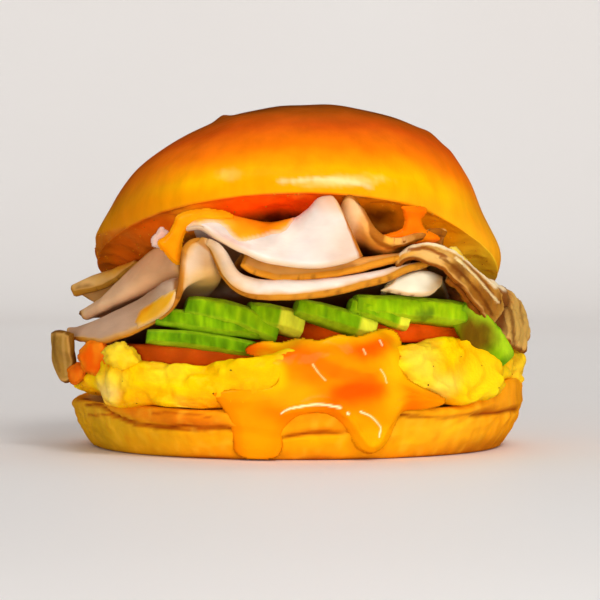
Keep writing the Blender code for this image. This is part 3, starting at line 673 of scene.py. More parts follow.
@dataclass
class TopBun:
    """Top bun: a domed crust over a torn crumb face that tips up toward the front."""

    radius: float = 49.6
    height: float = 37.0
    centre_x: float = 0.6
    centre_z: float = 44.2
    slope: float = 0.39
    back_bend: float = 0.005
    columns: int = 360
    skin_rows: int = 110
    edge_rows: int = 8
    face_rows: int = 34
    left_wall: float = 5.6
    crumb_hang: float = 3.4
    swell: Ripple = Ripple(0.010, 24.0, 5.7)
    wall_wave: Ripple = Ripple(0.5, 5.0, 2.2)
    crags: tuple[Ripple, ...] = (Ripple(0.55, 7.0, 3.3), Ripple(0.35, 3.2, 8.1))
    grain: Ripple = Ripple(0.15, 1.4, 4.0)
    dimples: Ripple = Ripple(0.30, 9.0, 6.6)
    bake_drift: tuple[Ripple, ...] = (Ripple(0.05, 14.0, 1.1), Ripple(0.02, 3.0, 2.1))
    # Pockets in the crumb at the front: x and half width.
    pockets: tuple[tuple[float, float], ...] = ((-4.0, 8.0), (19.0, 5.0))
    # Blisters on the skyline: x, size and height.
    blisters: tuple[tuple[float, float, float], ...] = ((-18.6, 1.8, 0.9), (32.4, 2.6, 0.5), (37.5, 2.0, 0.35))
    bake: Stops = ((0.0, "f79c04"), (0.08, "fc9e00"), (0.17, "ffb000"), (0.27, "ff9a00"), (0.35, "f57800"),
                   (0.54, "d25002"), (0.72, "a84e06"), (0.85, "7c3a0a"), (1.0, "6a3210"))
    crumb_tones: Stops = ((-0.6, "b5500a"), (0.0, "d98a1c"), (0.6, "e9a83a"))
    marks: Marks = (
        # Painted shade: the left flank of the crust is darker and redder.
        Patch(-47.0, 52.0, 6.0, 14.0, "c07806", 0.55, 15.0, 0.8, 0.1),
        Patch(-41.0, 63.0, 10.0, 9.0, "b85a02", 0.65, 40.0, 0.8, 0.1),
        Patch(46.5, 54.0, 4.0, 10.0, "d87a10", 0.6, 20.0, 0.8, 0.1),
        Patch(36.0, 52.0, 16.0, 5.0, "fdbb1a", 0.5, -25.0, 0.8),
        Patch(4.0, 70.5, 26.0, 3.5, "ec6a06", 0.35, 0.0, 0.8),
        Patch(-20.0, 71.0, 18.0, 3.0, "ec6a06", 0.3, 20.0, 0.8),
        # Painted highlight: pale streaks low on the front of the crust.
        Patch(10.0, 64.6, 8.0, 1.2, "fdd887", 0.5, 2.0, 0.6, 0.5),
        Patch(-16.0, 66.2, 2.4, 1.2, "fdd887", 0.2, 0.0, 0.6, 0.5),
        Stroke(((-4.0, 64.4), (4.0, 65.0), (12.0, 64.4), (17.0, 63.2)), 0.5, "fff0c0", 0.3, 0.8, 0.8),
    )
    crumb: Marks = (
        Patch(-40.0, 48.0, 12.0, 7.0, "c85406", 0.9, 30.0, 0.6),
        Patch(-20.0, 57.0, 16.0, 3.4, "ff6a06", 0.95, 10.0, 0.6),
        Patch(-24.0, 58.0, 5.0, 2.6, "ff9a10", 0.9, 10.0, 0.7),
        Patch(0.0, 58.5, 16.0, 3.5, "ff4e04", 0.95, 0.0, 0.6),
        # Painted shadow in a pocket between the crumb and the turkey.
        Patch(-4.0, 55.6, 9.0, 2.0, "3c0a02", 0.95, 0.0, 0.7),
        # Orange crumb round the right sauce run: its own colour, made brighter as painted light where the crown shades
        # it.
        Patch(26.0, 56.6, 14.0, 4.2, "ff9008", 1.0, -10.0, 0.6),
        # Painted shadow in a pocket between the crumb and the turkey.
        Patch(18.5, 56.4, 4.2, 2.2, "4a1204", 0.9, -6.0, 0.7),
        Patch(38.0, 50.0, 9.0, 8.0, "ffa004", 0.9, -30.0, 0.7),
        # Yellow crumb at the right end: its own colour, made brighter as painted light where it faces down into shade.
        Patch(46.0, 44.0, 8.0, 9.0, "ffd028", 1.0, -30.0, 0.7),
        # Painted shade: the crumb's left end is darker.
        Patch(-47.5, 45.0, 2.4, 6.0, "b45c08", 0.9, 0.0, 0.7),
    )

    def rings(self) -> tuple[np.ndarray, np.ndarray, np.ndarray]:
        """Shape the bun.

        Returns:
            Rings of points, how far up the crust each is from 0 to 1, and how much of it is crumb.
        """
        up = np.linspace(QUARTER_TURN - 0.01, 0.0, self.skin_rows)
        tuck = 0.03 * np.clip(1.0 - np.sin(up) / 0.16, 0.0, 1.0) ** 2
        share = np.concatenate([np.cos(up) - tuck, np.linspace(0.966, 0.93, self.edge_rows),
                                np.linspace(0.92, 0.01, self.face_rows)])
        rise = np.concatenate([np.sin(up), np.zeros(self.edge_rows + self.face_rows)])
        share, turn = np.meshgrid(share, around(self.columns), indexing="ij")
        rise = rise[:, None] * np.ones_like(turn)
        dome, side = rise > 0.0, outward(turn)
        local = self.radius * share[..., None] * side
        local[..., 2] = self.height * rise
        local = np.where(dome[..., None], local * (1.0 + self.swell.smooth(local))[..., None], local)
        level = local[..., 2].copy()
        # A wall of torn crumb stands under the crust at the left, where the rim bulges.
        left = bell(turn - math.pi, 0.35)
        wall = self.left_wall * left + self.wall_wave.smooth(local)
        crumb = np.where(dome, 1.0 - smoothstep(-0.25, 0.35, level - wall * (share > 0.9)), 1.0)
        crags = sum(layer.folded(local) for layer in self.crags) + self.grain.smooth(local)
        local -= side * (crumb * dome * (0.4 + 0.35 * crags))[..., None]
        bulge = 1.5 * left * (1.0 - smoothstep(4.0, 12.0, level)) * smoothstep(0.85, 0.95, share)
        local += side * bulge[..., None]
        # The cut face hangs in its middle, apart from its pockets, and is craggy inside its rim.
        face = np.clip((0.97 - share) / 0.08, 0.0, 1.0) * ~dome
        pocket = sum(bell(np.hypot((local[..., 0] - x) / wide, (local[..., 1] + 40.0) / 5.0), 1.0)
                     for x, wide in self.pockets)
        hang = self.crumb_hang * (1.0 - smoothstep(0.78, 0.95, share)) * (1.0 - 0.9 * np.clip(pocket, 0.0, 1.0))
        local[..., 2] += face * (0.6 + 0.9 * crags) - hang * ~dome
        # The rim sags at the right.
        right = bell(np.angle(np.exp(1j * (turn + 0.12))), 0.42)
        local[..., 2] -= 3.2 * right * (1.0 - smoothstep(0.0, 9.0, level)) * smoothstep(0.80, 0.95, share)
        local[..., 2] += self.dimples.smooth(local) * dome * smoothstep(0.0, 4.0, level)
        return self.blister(self.tip_up(local)), level / self.height, crumb

    def tip_up(self, local: np.ndarray) -> np.ndarray:
        """Tip the bun up at the front and set it on the fillings.

        Args:
            local: its points, with the cut face level and its middle at the origin.

        Returns:
            The points in place, with the right flank drawn in and the top led to the right.
        """
        tilt = math.atan(self.slope)
        y = local[..., 1] * math.cos(tilt) + local[..., 2] * math.sin(tilt)
        z = local[..., 2] * math.cos(tilt) - local[..., 1] * math.sin(tilt)
        z = z + self.centre_z
        drawn = smoothstep(45.0, 57.0, z) * (1.0 - smoothstep(57.0, 72.0, z))
        drawn = drawn * smoothstep(0.35, 0.9, local[..., 0] / self.radius)
        x = local[..., 0] + self.centre_x - 2.8 * drawn + 2.0 * smoothstep(66.0, 78.0, z)
        return np.stack([x, y, z + self.back_bend * np.maximum(0.0, y) ** 2], axis=-1)

    def blister(self, points: np.ndarray) -> np.ndarray:
        """Raise the blisters on the skyline.

        Args:
            points: the bun in place; its heights are changed.

        Returns:
            The same points.
        """
        for x, size, push in self.blisters:
            near = np.abs(points[..., 0] - x) < 0.6
            crest = points[near][np.argmax(points[near][:, 2])]
            points[..., 2] += push * bell(np.linalg.norm((points - crest) * np.array([1.0, 0.6, 1.0]), axis=-1), size)
        return points

    def build(self, finish: bpy.types.Material) -> bpy.types.Object:
        """Build and paint the bun.

        Args:
            finish: the crust's material.

        Returns:
            The piece.
        """
        rings, level, crumb = self.rings()
        tone = sum((drift.smooth(rings) for drift in self.bake_drift), level)
        skin = paint(rings, ramp(tone, self.bake), self.marks)
        inside = paint(rings, ramp(noise_at(rings, 3.0, 4.4), self.crumb_tones), self.crumb)
        tint = mix(skin, inside, crumb)
        share = np.hypot(rings[..., 0], rings[..., 1]) / self.radius
        cover = crumb * smoothstep(0.72, 0.9, share) * np.clip(0.6 + noise_at(rings, 5.0, 6.0), 0.0, 1.0)
        points, faces = closed_rings(rings)
        return make_piece("top_bun", points, faces, ring_values(tint), finish, ("bun_top",),
                          {"cover": ring_values(cover)})


@dataclass
class BottomBun:
    """Bottom bun: a shallow tapered round with a cut lip and a crack that runs round its side."""

    radius: float = 55.4
    lip_rise: float = 5.0
    columns: int = 400
    rows: int = 90
    swell: Ripple = Ripple(0.012, 22.0, 3.1)
    lip_wave: Ripple = Ripple(0.5, 14.0, 8.2)
    crumple: Ripple = Ripple(0.24, 4.5, 2.0)
    crack_height: float = 8.6
    crack_wander: tuple[Ripple, ...] = (Ripple(1.2, 16.0, 5.5), Ripple(0.35, 3.0, 9.0))
    crack_width: float = 0.42
    crack_depth: float = 0.95
    crumb_colour: str = "f2c878"
    # Colour of the painted shade in the crack.
    crack_shade_colour: str = "9a3402"
    streak_colours: tuple[str, str] = ("dc7c04", "ffc02c")
    # The side's outline: share of the radius and height.
    profile: Path = ((0.55, 0.0), (0.80, 0.0), (0.875, 0.05), (0.905, 0.9), (0.935, 3.2), (0.962, 6.0),
                      (0.975, 8.2), (0.988, 10.0), (0.990, 11.3), (0.965, 11.95), (0.90, 11.4), (0.60, 11.2))
    # The crack as seen from the front.
    crack: Path = ((-55.0, 11.0), (-47.0, 11.3), (-44.0, 9.9), (-38.7, 8.0), (-30.0, 7.5), (-24.0, 7.9), (-16.0, 7.7),
                   (-4.0, 5.6), (3.0, 6.7), (11.5, 6.9), (24.5, 10.4), (35.6, 9.0), (46.0, 9.6), (55.0, 9.6))
    bake: Stops = ((0.0, "c9650a"), (0.08, "f09408"), (0.35, "ffa806"), (0.75, "fdae0c"), (1.0, "f0960c"))
    marks: Marks = (
        # Painted shade: the left side of the heel is darker and more olive.
        Patch(-45.0, 5.0, 9.0, 7.0, "cf9f16", 0.85, 0.0, 0.7),
        Patch(-33.0, 3.0, 8.0, 5.0, "e2a412", 0.6, 0.0, 0.8),
        Patch(-50.0, 9.6, 5.0, 1.8, "d8a220", 0.7, 0.0, 0.6),
        # Orange-brown lip under the egg: its own colour, darkened with painted shade.
        Patch(-31.0, 9.6, 12.0, 1.8, "dc6a0e", 0.75, -6.0, 0.6),
        Patch(-22.0, 9.0, 8.0, 2.0, "f0780c", 0.7, 0.0, 0.6),
        # Painted light: the right side is lighter where it turns away into shade.
        Patch(50.0, 7.0, 9.0, 8.0, "ffa208", 0.9, 0.0, 0.7),
        Patch(44.0, 1.5, 10.0, 2.0, "b35a0a", 0.6, 0.0, 0.8),
        # Painted shade along the crack at the front.
        Stroke(((-50.0, 8.6), (-44.0, 9.2), (-38.0, 7.4), (-30.0, 6.9), (-20.0, 7.2)), 0.34, "a83e04", 0.75),
        Stroke(((25.0, 10.6), (33.0, 9.4), (40.0, 9.9), (50.0, 11.6)), 0.34, "9c3c04", 0.75),
        Stroke(((-34.0, 10.6), (-27.0, 10.9), (-20.0, 10.2)), 0.30, "b44a06", 0.65),
        Patch(34.0, 6.0, 10.0, 3.5, "fdb41c", 0.6, 0.0, 0.8),
        Patch(5.0, 8.6, 10.0, 2.0, "fb8c08", 0.7, 0.0, 0.7),
        # Painted light on the right end of the lip.
        Patch(52.0, 12.5, 7.0, 2.5, "f49a14", 0.6, 10.0, 0.7),
    )

    def rings(self) -> tuple[np.ndarray, np.ndarray]:
        """Shape the bun.

        Returns:
            Rings of points, from the base up, and how deep in the crack each is.
        """
        line = spline(np.array(self.profile) * np.array([self.radius, 1.0]), self.rows)
        share, turn = np.meshgrid(line[:, 0] / self.radius, around(self.columns), indexing="ij")
        height = line[:, 1][:, None] * np.ones_like(turn)
        above = height > 0.5
        lip = smoothstep(9.0, 11.8, height) * smoothstep(0.80, 0.95, share)
        points = self.radius * share[..., None] * outward(turn)
        points[..., 2] = np.maximum(height, 0.0) + self.lip_rise * smoothstep(0.80, 1.0, np.cos(turn + 0.15)) * lip
        points[..., :2] *= np.where(above, 1.0 + self.swell.smooth(points) * share, 1.0)[..., None]
        level = points * LEVEL
        points[..., 2] += above * self.lip_wave.smooth(level) * smoothstep(0.7, 0.95, share)
        # The crack is fitted at the front and wanders about its mean height at the back.
        front = np.interp(points[..., 0], *zip(*self.crack))
        back = self.crack_height + self.crack_wander[0].smooth(level)
        off = points[..., 2] - (np.where(turn > math.pi, front, back) + self.crack_wander[1].smooth(level))
        rim = smoothstep(0.9, 0.94, share)
        crack = bell(off, self.crack_width + 0.2 * noise_at(level, 6.0, 3.0)) * rim
        crack *= smoothstep(-0.35, 0.1, noise_at(level, 11.0, 7.0))
        lobe = bell(off - 1.6, 1.0) * rim
        crumple = self.crumple.folded(points * np.array([1.0, 1.0, 2.0])) * smoothstep(0.9, 0.97, share)
        points += outward(turn) * ((0.45 * lobe - self.crack_depth * crack + crumple) * above)[..., None]
        points[..., 2] = np.maximum(points[..., 2], 0.0)
        return points, crack

    def build(self, finish: bpy.types.Material) -> bpy.types.Object:
        """Build and paint the bun.

        Args:
            finish: the crust's material.

        Returns:
            The piece.
        """
        rings, crack = self.rings()
        tone = rings[..., 2] / 12.0 + 0.08 * noise_at(rings, 8.0, 1.9)
        tint = paint(rings, ramp(tone, self.bake), self.marks)
        radius = np.hypot(rings[..., 0], rings[..., 1])
        crumb = (rings[..., 2] > 9.0) * (1.0 - smoothstep(50.5, 53.0, radius))
        streak = noise_at(rings * np.array([1.0, 1.0, 0.35]), 1.8, 7.7)
        for colour, side in zip(self.streak_colours, (streak, -streak)):
            tint = mix(tint, colour, 0.30 * smoothstep(0.1, 0.6, side))
        tint = mix(tint, self.crumb_colour, crumb)
        # Painted shade darkens the crack.
        tint = mix(tint, self.crack_shade_colour, 0.95 * crack)
        points, faces = closed_rings(rings)
        return make_piece("bottom_bun", points, faces, ring_values(tint), finish, ("bun_bottom",))


@dataclass
class Egg:
    """Soft scrambled egg: rounded curds with creases between, heaped round the rim."""

    radius: float = 53.4
    bottom: float = 11.55
    top_left: float = 21.4
    top_right: float = 26.2
    step_x: float = -8.0
    lean: float = 0.05
    lean_from_y: float = -45.0
    overhang: float = 2.2
    columns: int = 460
    rows: int = 110
    heaps: tuple[Ripple, ...] = (Ripple(1.0, 10.0, 1.7), Ripple(0.5, 5.0, 4.4))
    tones: Stops = ((0.0, "fdb400"), (0.45, "fcc600"), (0.75, "fcce04"), (1.0, "f8d83c"))
    # Colour of the painted shade in the creases between curds.
    crease_shade_colour: str = "fba400"
    # Curds fitted to the photo: centre, reach and push.
    curds: tuple[tuple, ...] = (
        (-39.0, -34.0, 19.0, 7.0, (-2.2, -2.2, 0.0)), (-41.0, -37.0, 21.5, 5.0, (-0.5, -0.5, 5.5)),
        (-47.0, -29.0, 20.0, 5.5, (-0.5, -1.5, 4.5)), (-50.0, -20.0, 15.0, 6.0, (-1.5, -1.0, 1.0)),
        (-33.0, -41.0, 15.5, 7.5, (-1.2, -3.0, -0.6)), (-42.0, -34.0, 14.5, 7.0, (-2.0, -2.4, -2.4)),
        (-24.0, -48.0, 15.0, 7.5, (-0.6, -3.2, -1.4)), (-14.0, -50.0, 16.0, 7.0, (-0.2, -2.6, -0.8)),
        (-8.0, -52.0, 19.0, 7.0, (0.0, -1.5, 0.8)), (4.0, -47.0, 24.0, 9.0, (0.0, -3.0, 2.5)),
        (15.0, -45.0, 24.0, 9.0, (0.0, -3.0, 2.5)), (27.0, -43.5, 22.0, 5.0, (0.0, -2.2, 2.4)),
        (31.5, -38.5, 23.5, 5.0, (0.0, -1.0, 3.0)), (35.5, -41.0, 17.5, 6.0, (0.8, -2.4, -0.6)),
        (38.0, -35.0, 24.0, 5.0, (0.4, -0.6, 2.2)), (45.0, -29.0, 20.5, 6.0, (2.0, -2.0, 2.0)),
        (40.0, -38.0, 14.5, 7.0, (1.4, -2.8, -2.2)), (47.0, -29.0, 14.5, 6.0, (2.0, -1.8, -1.6)),
        (53.0, -6.0, 18.5, 5.0, (3.6, -1.0, 1.5)), (12.0, 50.0, 16.0, 7.0, (0.0, 2.0, 1.0)),
        (-30.0, 42.0, 16.0, 8.0, (-1.0, 1.5, 3.5)), (-33.0, -41.0, 21.0, 5.0, (0.0, -0.8, 2.2)),
        (-26.0, -45.0, 21.0, 5.0, (0.0, -0.8, 2.0)), (-18.0, -48.0, 21.0, 5.5, (0.0, -0.8, 2.6)),
        (-12.0, -49.0, 20.0, 4.5, (0.0, -2.2, 2.0)), (36.0, -37.0, 25.5, 5.0, (0.0, -0.4, 2.0)),
        (42.0, -31.0, 25.0, 4.5, (0.0, -0.4, 1.8)),
    )
    marks: Marks = (
        Patch(-44.6, 15.6, 2.2, 2.8, "f8da78", 0.7, 20.0, 0.7),
        Patch(-30.0, 20.0, 5.0, 2.0, "ffdc30", 0.6, 10.0, 0.7),
        Patch(-36.0, 13.5, 5.0, 1.4, "ffa202", 0.6, 0.0, 0.7),
        Patch(-43.0, 18.0, 3.0, 2.0, "fdd93a", 0.6, 0.0, 0.7),
        Patch(-24.0, 18.0, 16.0, 3.0, "ffd200", 0.6, 0.0, 0.8),
        Patch(-6.0, 20.0, 6.0, 5.0, "ffc400", 0.6, 0.0, 0.8),
        Patch(29.0, 22.5, 4.0, 4.0, "fddc40", 0.7, 0.0, 0.7),
        Patch(34.0, 17.0, 4.5, 2.4, "fdd850", 0.6, 30.0, 0.7),
        Patch(35.0, 21.0, 4.0, 1.6, "ffb000", 0.6, -20.0, 0.7),
        Patch(44.0, 18.0, 6.0, 5.0, "ffd214", 0.6, 0.0, 0.8),
        Patch(54.0, 19.0, 3.0, 3.0, "f9cc2a", 0.7, 0.0, 0.6),
        Patch(-14.0, 13.5, 12.0, 3.0, "ff9a04", 0.85, 0.0, 0.9),
        Patch(-9.0, 17.5, 6.0, 3.5, "ffa804", 0.7, 0.0, 0.9),
    )

    def top(self, x: np.ndarray, y: np.ndarray) -> np.ndarray:
        """Find the egg's top: low under the left tomato slice, high beside it and on the right.

        Args:
            x: across.
            y: away from the front.

        Returns:
            Its height at each place.
        """
        beside = smoothstep(31.3, 36.0, np.hypot(x + 17.0, y + 9.0))
        beside = beside * smoothstep(self.step_x - 6.0, self.step_x + 6.0, x)
        share = np.maximum(beside, smoothstep(16.5, 27.0, x))
        return self.top_left + (self.top_right - self.top_left) * share - self.lean * (y - self.lean_from_y)

    def rings(self) -> tuple[np.ndarray, np.ndarray]:
        """Shape the egg.

        Returns:
            Rings of points from the top down, and how deep in a crease each is.
        """
        up = np.linspace(QUARTER_TURN - 0.02, -QUARTER_TURN + 0.02, self.rows)
        across = np.cos(up) ** np.where(up < 0.0, 0.26, 0.45)
        across, turn = np.meshgrid(across, around(self.columns), indexing="ij")
        level = (np.sign(np.sin(up)) * np.abs(np.sin(up)) ** 0.75)[:, None] * np.ones_like(turn)
        out = outward(turn)
        points = self.radius * across[..., None] * out
        top = self.top(points[..., 0], points[..., 1])
        points[..., 2] = 0.5 * (top + self.bottom) + level * 0.5 * (top - self.bottom)
        # The rim is heaped, with the fitted curds on it.
        rim = smoothstep(0.86, 0.97, across)
        curd = sum(heap.smooth(points) for heap in self.heaps)
        lift = 1.6 * (0.8 + noise_at(points * LEVEL, 8.0, 2.3)) * smoothstep(0.0, 0.4, level)
        points = points + out * (2.0 * rim * curd)[..., None]
        points[..., 2] += lift * rim
        for *centre, reach, push in self.curds:
            near = bell(np.linalg.norm(points - np.array(centre), axis=-1), reach)
            points += near[..., None] * np.array(push)
        # Smaller curds, warped so that their creases wander.
        warp = points + 1.6 * np.stack([noise_at(points, 6.0, k) for k in (1.0, 2.0, 3.0)], axis=-1)
        broad = folds_at(warp * np.array([0.8, 0.8, 1.3]), 6.5, 6.1)
        small = folds_at(warp, 2.8, 9.3)
        fine = noise_at(points, 1.3, 2.9)
        points += out * (rim * (0.75 * broad + 0.40 * small + 0.12 * fine))[..., None]
        points[..., 2] += rim * smoothstep(-0.2, 0.6, level) * (0.45 * broad + 0.25 * small)
        hang = self.overhang * smoothstep(52.5, 55.5, np.hypot(points[..., 0], points[..., 1]))
        points[..., 2] = np.maximum(points[..., 2], self.bottom - hang)
        return points, 1.0 - smoothstep(-0.4, 0.5, 0.7 * broad + 0.3 * small)

    def build(self, finish: bpy.types.Material) -> bpy.types.Object:
        """Build and paint the egg.

        Args:
            finish: the egg's material.

        Returns:
            The piece.
        """
        rings, crease = self.rings()
        tone = 0.5 + 0.5 * noise_at(rings, 5.0, 3.9)
        # Painted shade: the creases between the curds turn a deeper orange.
        tint = mix(ramp(tone, self.tones), self.crease_shade_colour, 0.7 * crease)
        tint = paint(rings, tint, self.marks)
        points, faces = closed_rings(rings)
        cover = (np.hypot(rings[..., 0], rings[..., 1]) > 0.9 * self.radius).astype(float)
        return make_piece("scrambled_egg", points, faces, ring_values(tint), finish, ("egg",),
                          {"cover": ring_values(cover)})


@dataclass
class TomatoSlice:
    """Tomato slice: a soft-edged round with skin at its rim and seed chambers in its faces."""

    name: str
    node: str
    centre: tuple[float, float]
    bottom: float
    radius: float
    thickness: float
    # The rim's colour: painted shade darkens it on the left slice, painted light brightens it on the right one.
    edge: str
    slope: float = 0.05
    rounding: float = 1.3
    chamber_depth: float = 0.5
    chamber_colour: str = "f0801c"
    streak_colour: str = "d8600a"
    columns: int = 200
    face_rows: int = 26
    edge_rows: int = 6

    def build(self, finish: bpy.types.Material) -> bpy.types.Object:
        """Build and paint the slice.

        Args:
            finish: the tomato's material.

        Returns:
            The piece.
        """
        half, flat = 0.5 * self.thickness, self.radius - self.rounding
        bend = np.linspace(0.0, QUARTER_TURN, self.edge_rows + 1)[1:]
        reach = np.concatenate([np.linspace(0.5, flat, self.face_rows), flat + self.rounding * np.sin(bend)])
        level = np.concatenate([np.full(self.face_rows, half), half - self.rounding + self.rounding * np.cos(bend)])
        reach, turn = np.meshgrid(np.concatenate([reach, reach[::-1]]), around(self.columns), indexing="ij")
        level = np.concatenate([level, -level[::-1]])[:, None] * np.ones_like(turn)
        share = reach / self.radius
        lobes = 1.0 + 0.02 * np.cos(5 * turn + self.centre[0] * 0.09)
        x, y = self.centre[0] + reach * lobes * np.cos(turn), self.centre[1] + reach * lobes * np.sin(turn)
        chamber = np.clip(np.cos(6 * turn) * 2.0, -1.0, 1.0) * smoothstep(0.2, 0.35, share)
        chamber *= 1.0 - smoothstep(0.72, 0.84, share)
        flesh = np.where(np.abs(level) > half - 0.05, np.maximum(chamber, 0.0), 0.0)
        z = self.bottom + half + level - np.sign(level) * self.chamber_depth * flesh - self.slope * (y + 45.0)
        rings = np.stack([x, y, z], axis=-1)
        rings[..., 2] += 0.2 * noise_at(rings, 5.0, 1.2)
        # The rim colour carries the painted shade and painted light given for each slice.
        tones = ((0.0, "f08a4a"), (0.25, "e5641e"), (0.9, "d94e12"), (0.97, self.edge), (1.0, self.edge))
        tint = mix(ramp(share + 0.03 * noise_at(rings, 3.0, 2.0), tones), self.chamber_colour, 0.7 * flesh)
        streak = smoothstep(0.1, 0.5, noise_at(rings * np.array([0.35, 0.35, 1.6]), 1.6, 5.0))
        tint = mix(tint, self.streak_colour, 0.45 * streak)
        points, faces = closed_rings(rings)
        return make_piece(self.name, points, faces, ring_values(tint), finish, (self.node,))


@dataclass
class AvocadoSlice:
    """Avocado slice: a crescent band of flesh with crisp long edges and cut ends."""

    number: int
    place: tuple[float, float, float]
    size: tuple[float, float, float]
    angles: tuple[float, float, float]
    taper: tuple[float, float]
    cut_ends: tuple[bool, bool] = (False, True)
    sag: float = 0.0
    flesh_from: float = 0.86
    # Shifts the slice's whole tone: below zero it is painted shade, above zero painted light.
    ripe: float = 0.0
    marks: Marks = ()
    bow: float = 0.16
    rounding: float = 0.30
    squareness: float = 0.30
    rows: int = 90
    loop: int = 56
    tones: Stops = ((0.0, "487002"), (0.35, "689403"), (0.7, "88b004"), (1.0, "a4c208"), (1.2, "b4cc0e"))
    # Colour of the painted light along the long edges of the front face.
    edge_colour: str = "b0d020"
    cut_colour: str = "dedc34"
    end_colour: str = "4d7a08"

    def shape(self) -> tuple[np.ndarray, np.ndarray, np.ndarray, np.ndarray]:
        """Shape the slice.

        Returns:
            Loops of points from end to end, and how far along, across and up the slice each is, from -1 to 1.
        """
        length, depth, thickness = self.size
        along = np.concatenate([[-1.0, -0.999, -0.99], np.linspace(-0.975, 0.975, self.rows - 6), [0.99, 0.999, 1.0]])
        inset = np.interp(np.abs(along), [0.0, 0.975, 0.99, 0.999, 1.0], [1.0, 1.0, 0.975, 0.93, 0.90])[:, None]
        turn = around(self.loop)
        across, up = (np.sign(wave) * np.abs(wave) ** self.squareness for wave in (np.cos(turn), np.sin(turn)))
        along, across = np.meshgrid(along, across, indexing="ij")
        up = np.broadcast_to(up, along.shape)
        end = along * along * np.where(along < 0, self.taper[0], self.taper[1])
        x = 0.5 * length * along
        y = 0.5 * depth * (across * inset + 1.0) * (1.0 - end) + self.bow * depth * along * along
        z = up * inset * 0.5 * thickness * (1.0 - self.rounding * smoothstep(0.4, 1.0, np.abs(across)))
        z = z * (1.0 - 0.5 * end) - self.sag * along * along
        local = np.stack([x, y, z], axis=-1)
        z = z + 0.25 * noise_at(local * np.array([1.0, 0.4, 0.4]), 4.0, self.number * 3.3)
        y = y + 0.28 * noise_at(local, 3.0, self.number * 1.7) + 0.15 * folds_at(local, 1.8, self.number)
        points = np.stack([x, y, z], axis=-1)
        yaw, pitch, roll = (math.radians(angle) for angle in self.angles)
        for axis, angle in enumerate((roll, -pitch, yaw)):
            points = rotate(points, axis, angle)
        return points + np.array(self.place), along, across, up

    def build(self, finish: bpy.types.Material) -> bpy.types.Object:
        """Build and paint the slice.

        Args:
            finish: the avocado's material.

        Returns:
            The piece.
        """
        points, along, across, up = self.shape()
        # The tone shift of each slice is painted light and shade.
        tone = 0.5 + self.ripe + 0.30 * noise_at(points * np.array([1.3, 1.0, 0.5]), 2.4, self.number * 2.0)
        tone += 0.30 * noise_at(points, 6.0, self.number * 3.0)
        tone += 0.22 * noise_at(points * np.array([1.0, 0.5, 0.2]), 0.8, self.number * 4.0)
        # Painted light: the long edges of the front face are lighter.
        lit_front_edge = smoothstep(0.62, 0.98, np.abs(up)) * (across < -0.5)
        tint = mix(ramp(tone, self.tones), self.edge_colour, 0.6 * lit_front_edge)
        for sign, cut in zip((-1, 1), self.cut_ends):
            if cut:
                pale = smoothstep(self.flesh_from - 0.12, self.flesh_from, sign * along)
                tint = mix(tint, self.cut_colour, 0.95 * pale)
            else:
                tint = mix(tint, self.end_colour, 0.55 * smoothstep(0.75, 1.0, sign * along))
        tint = paint(points, tint, self.marks)
        body, faces = closed_rings(points)
        return make_piece(f"avocado_cut_{self.number}", body, faces, ring_values(tint), finish,
                          (f"avocado_slice_{self.number}",), flat=40.0)


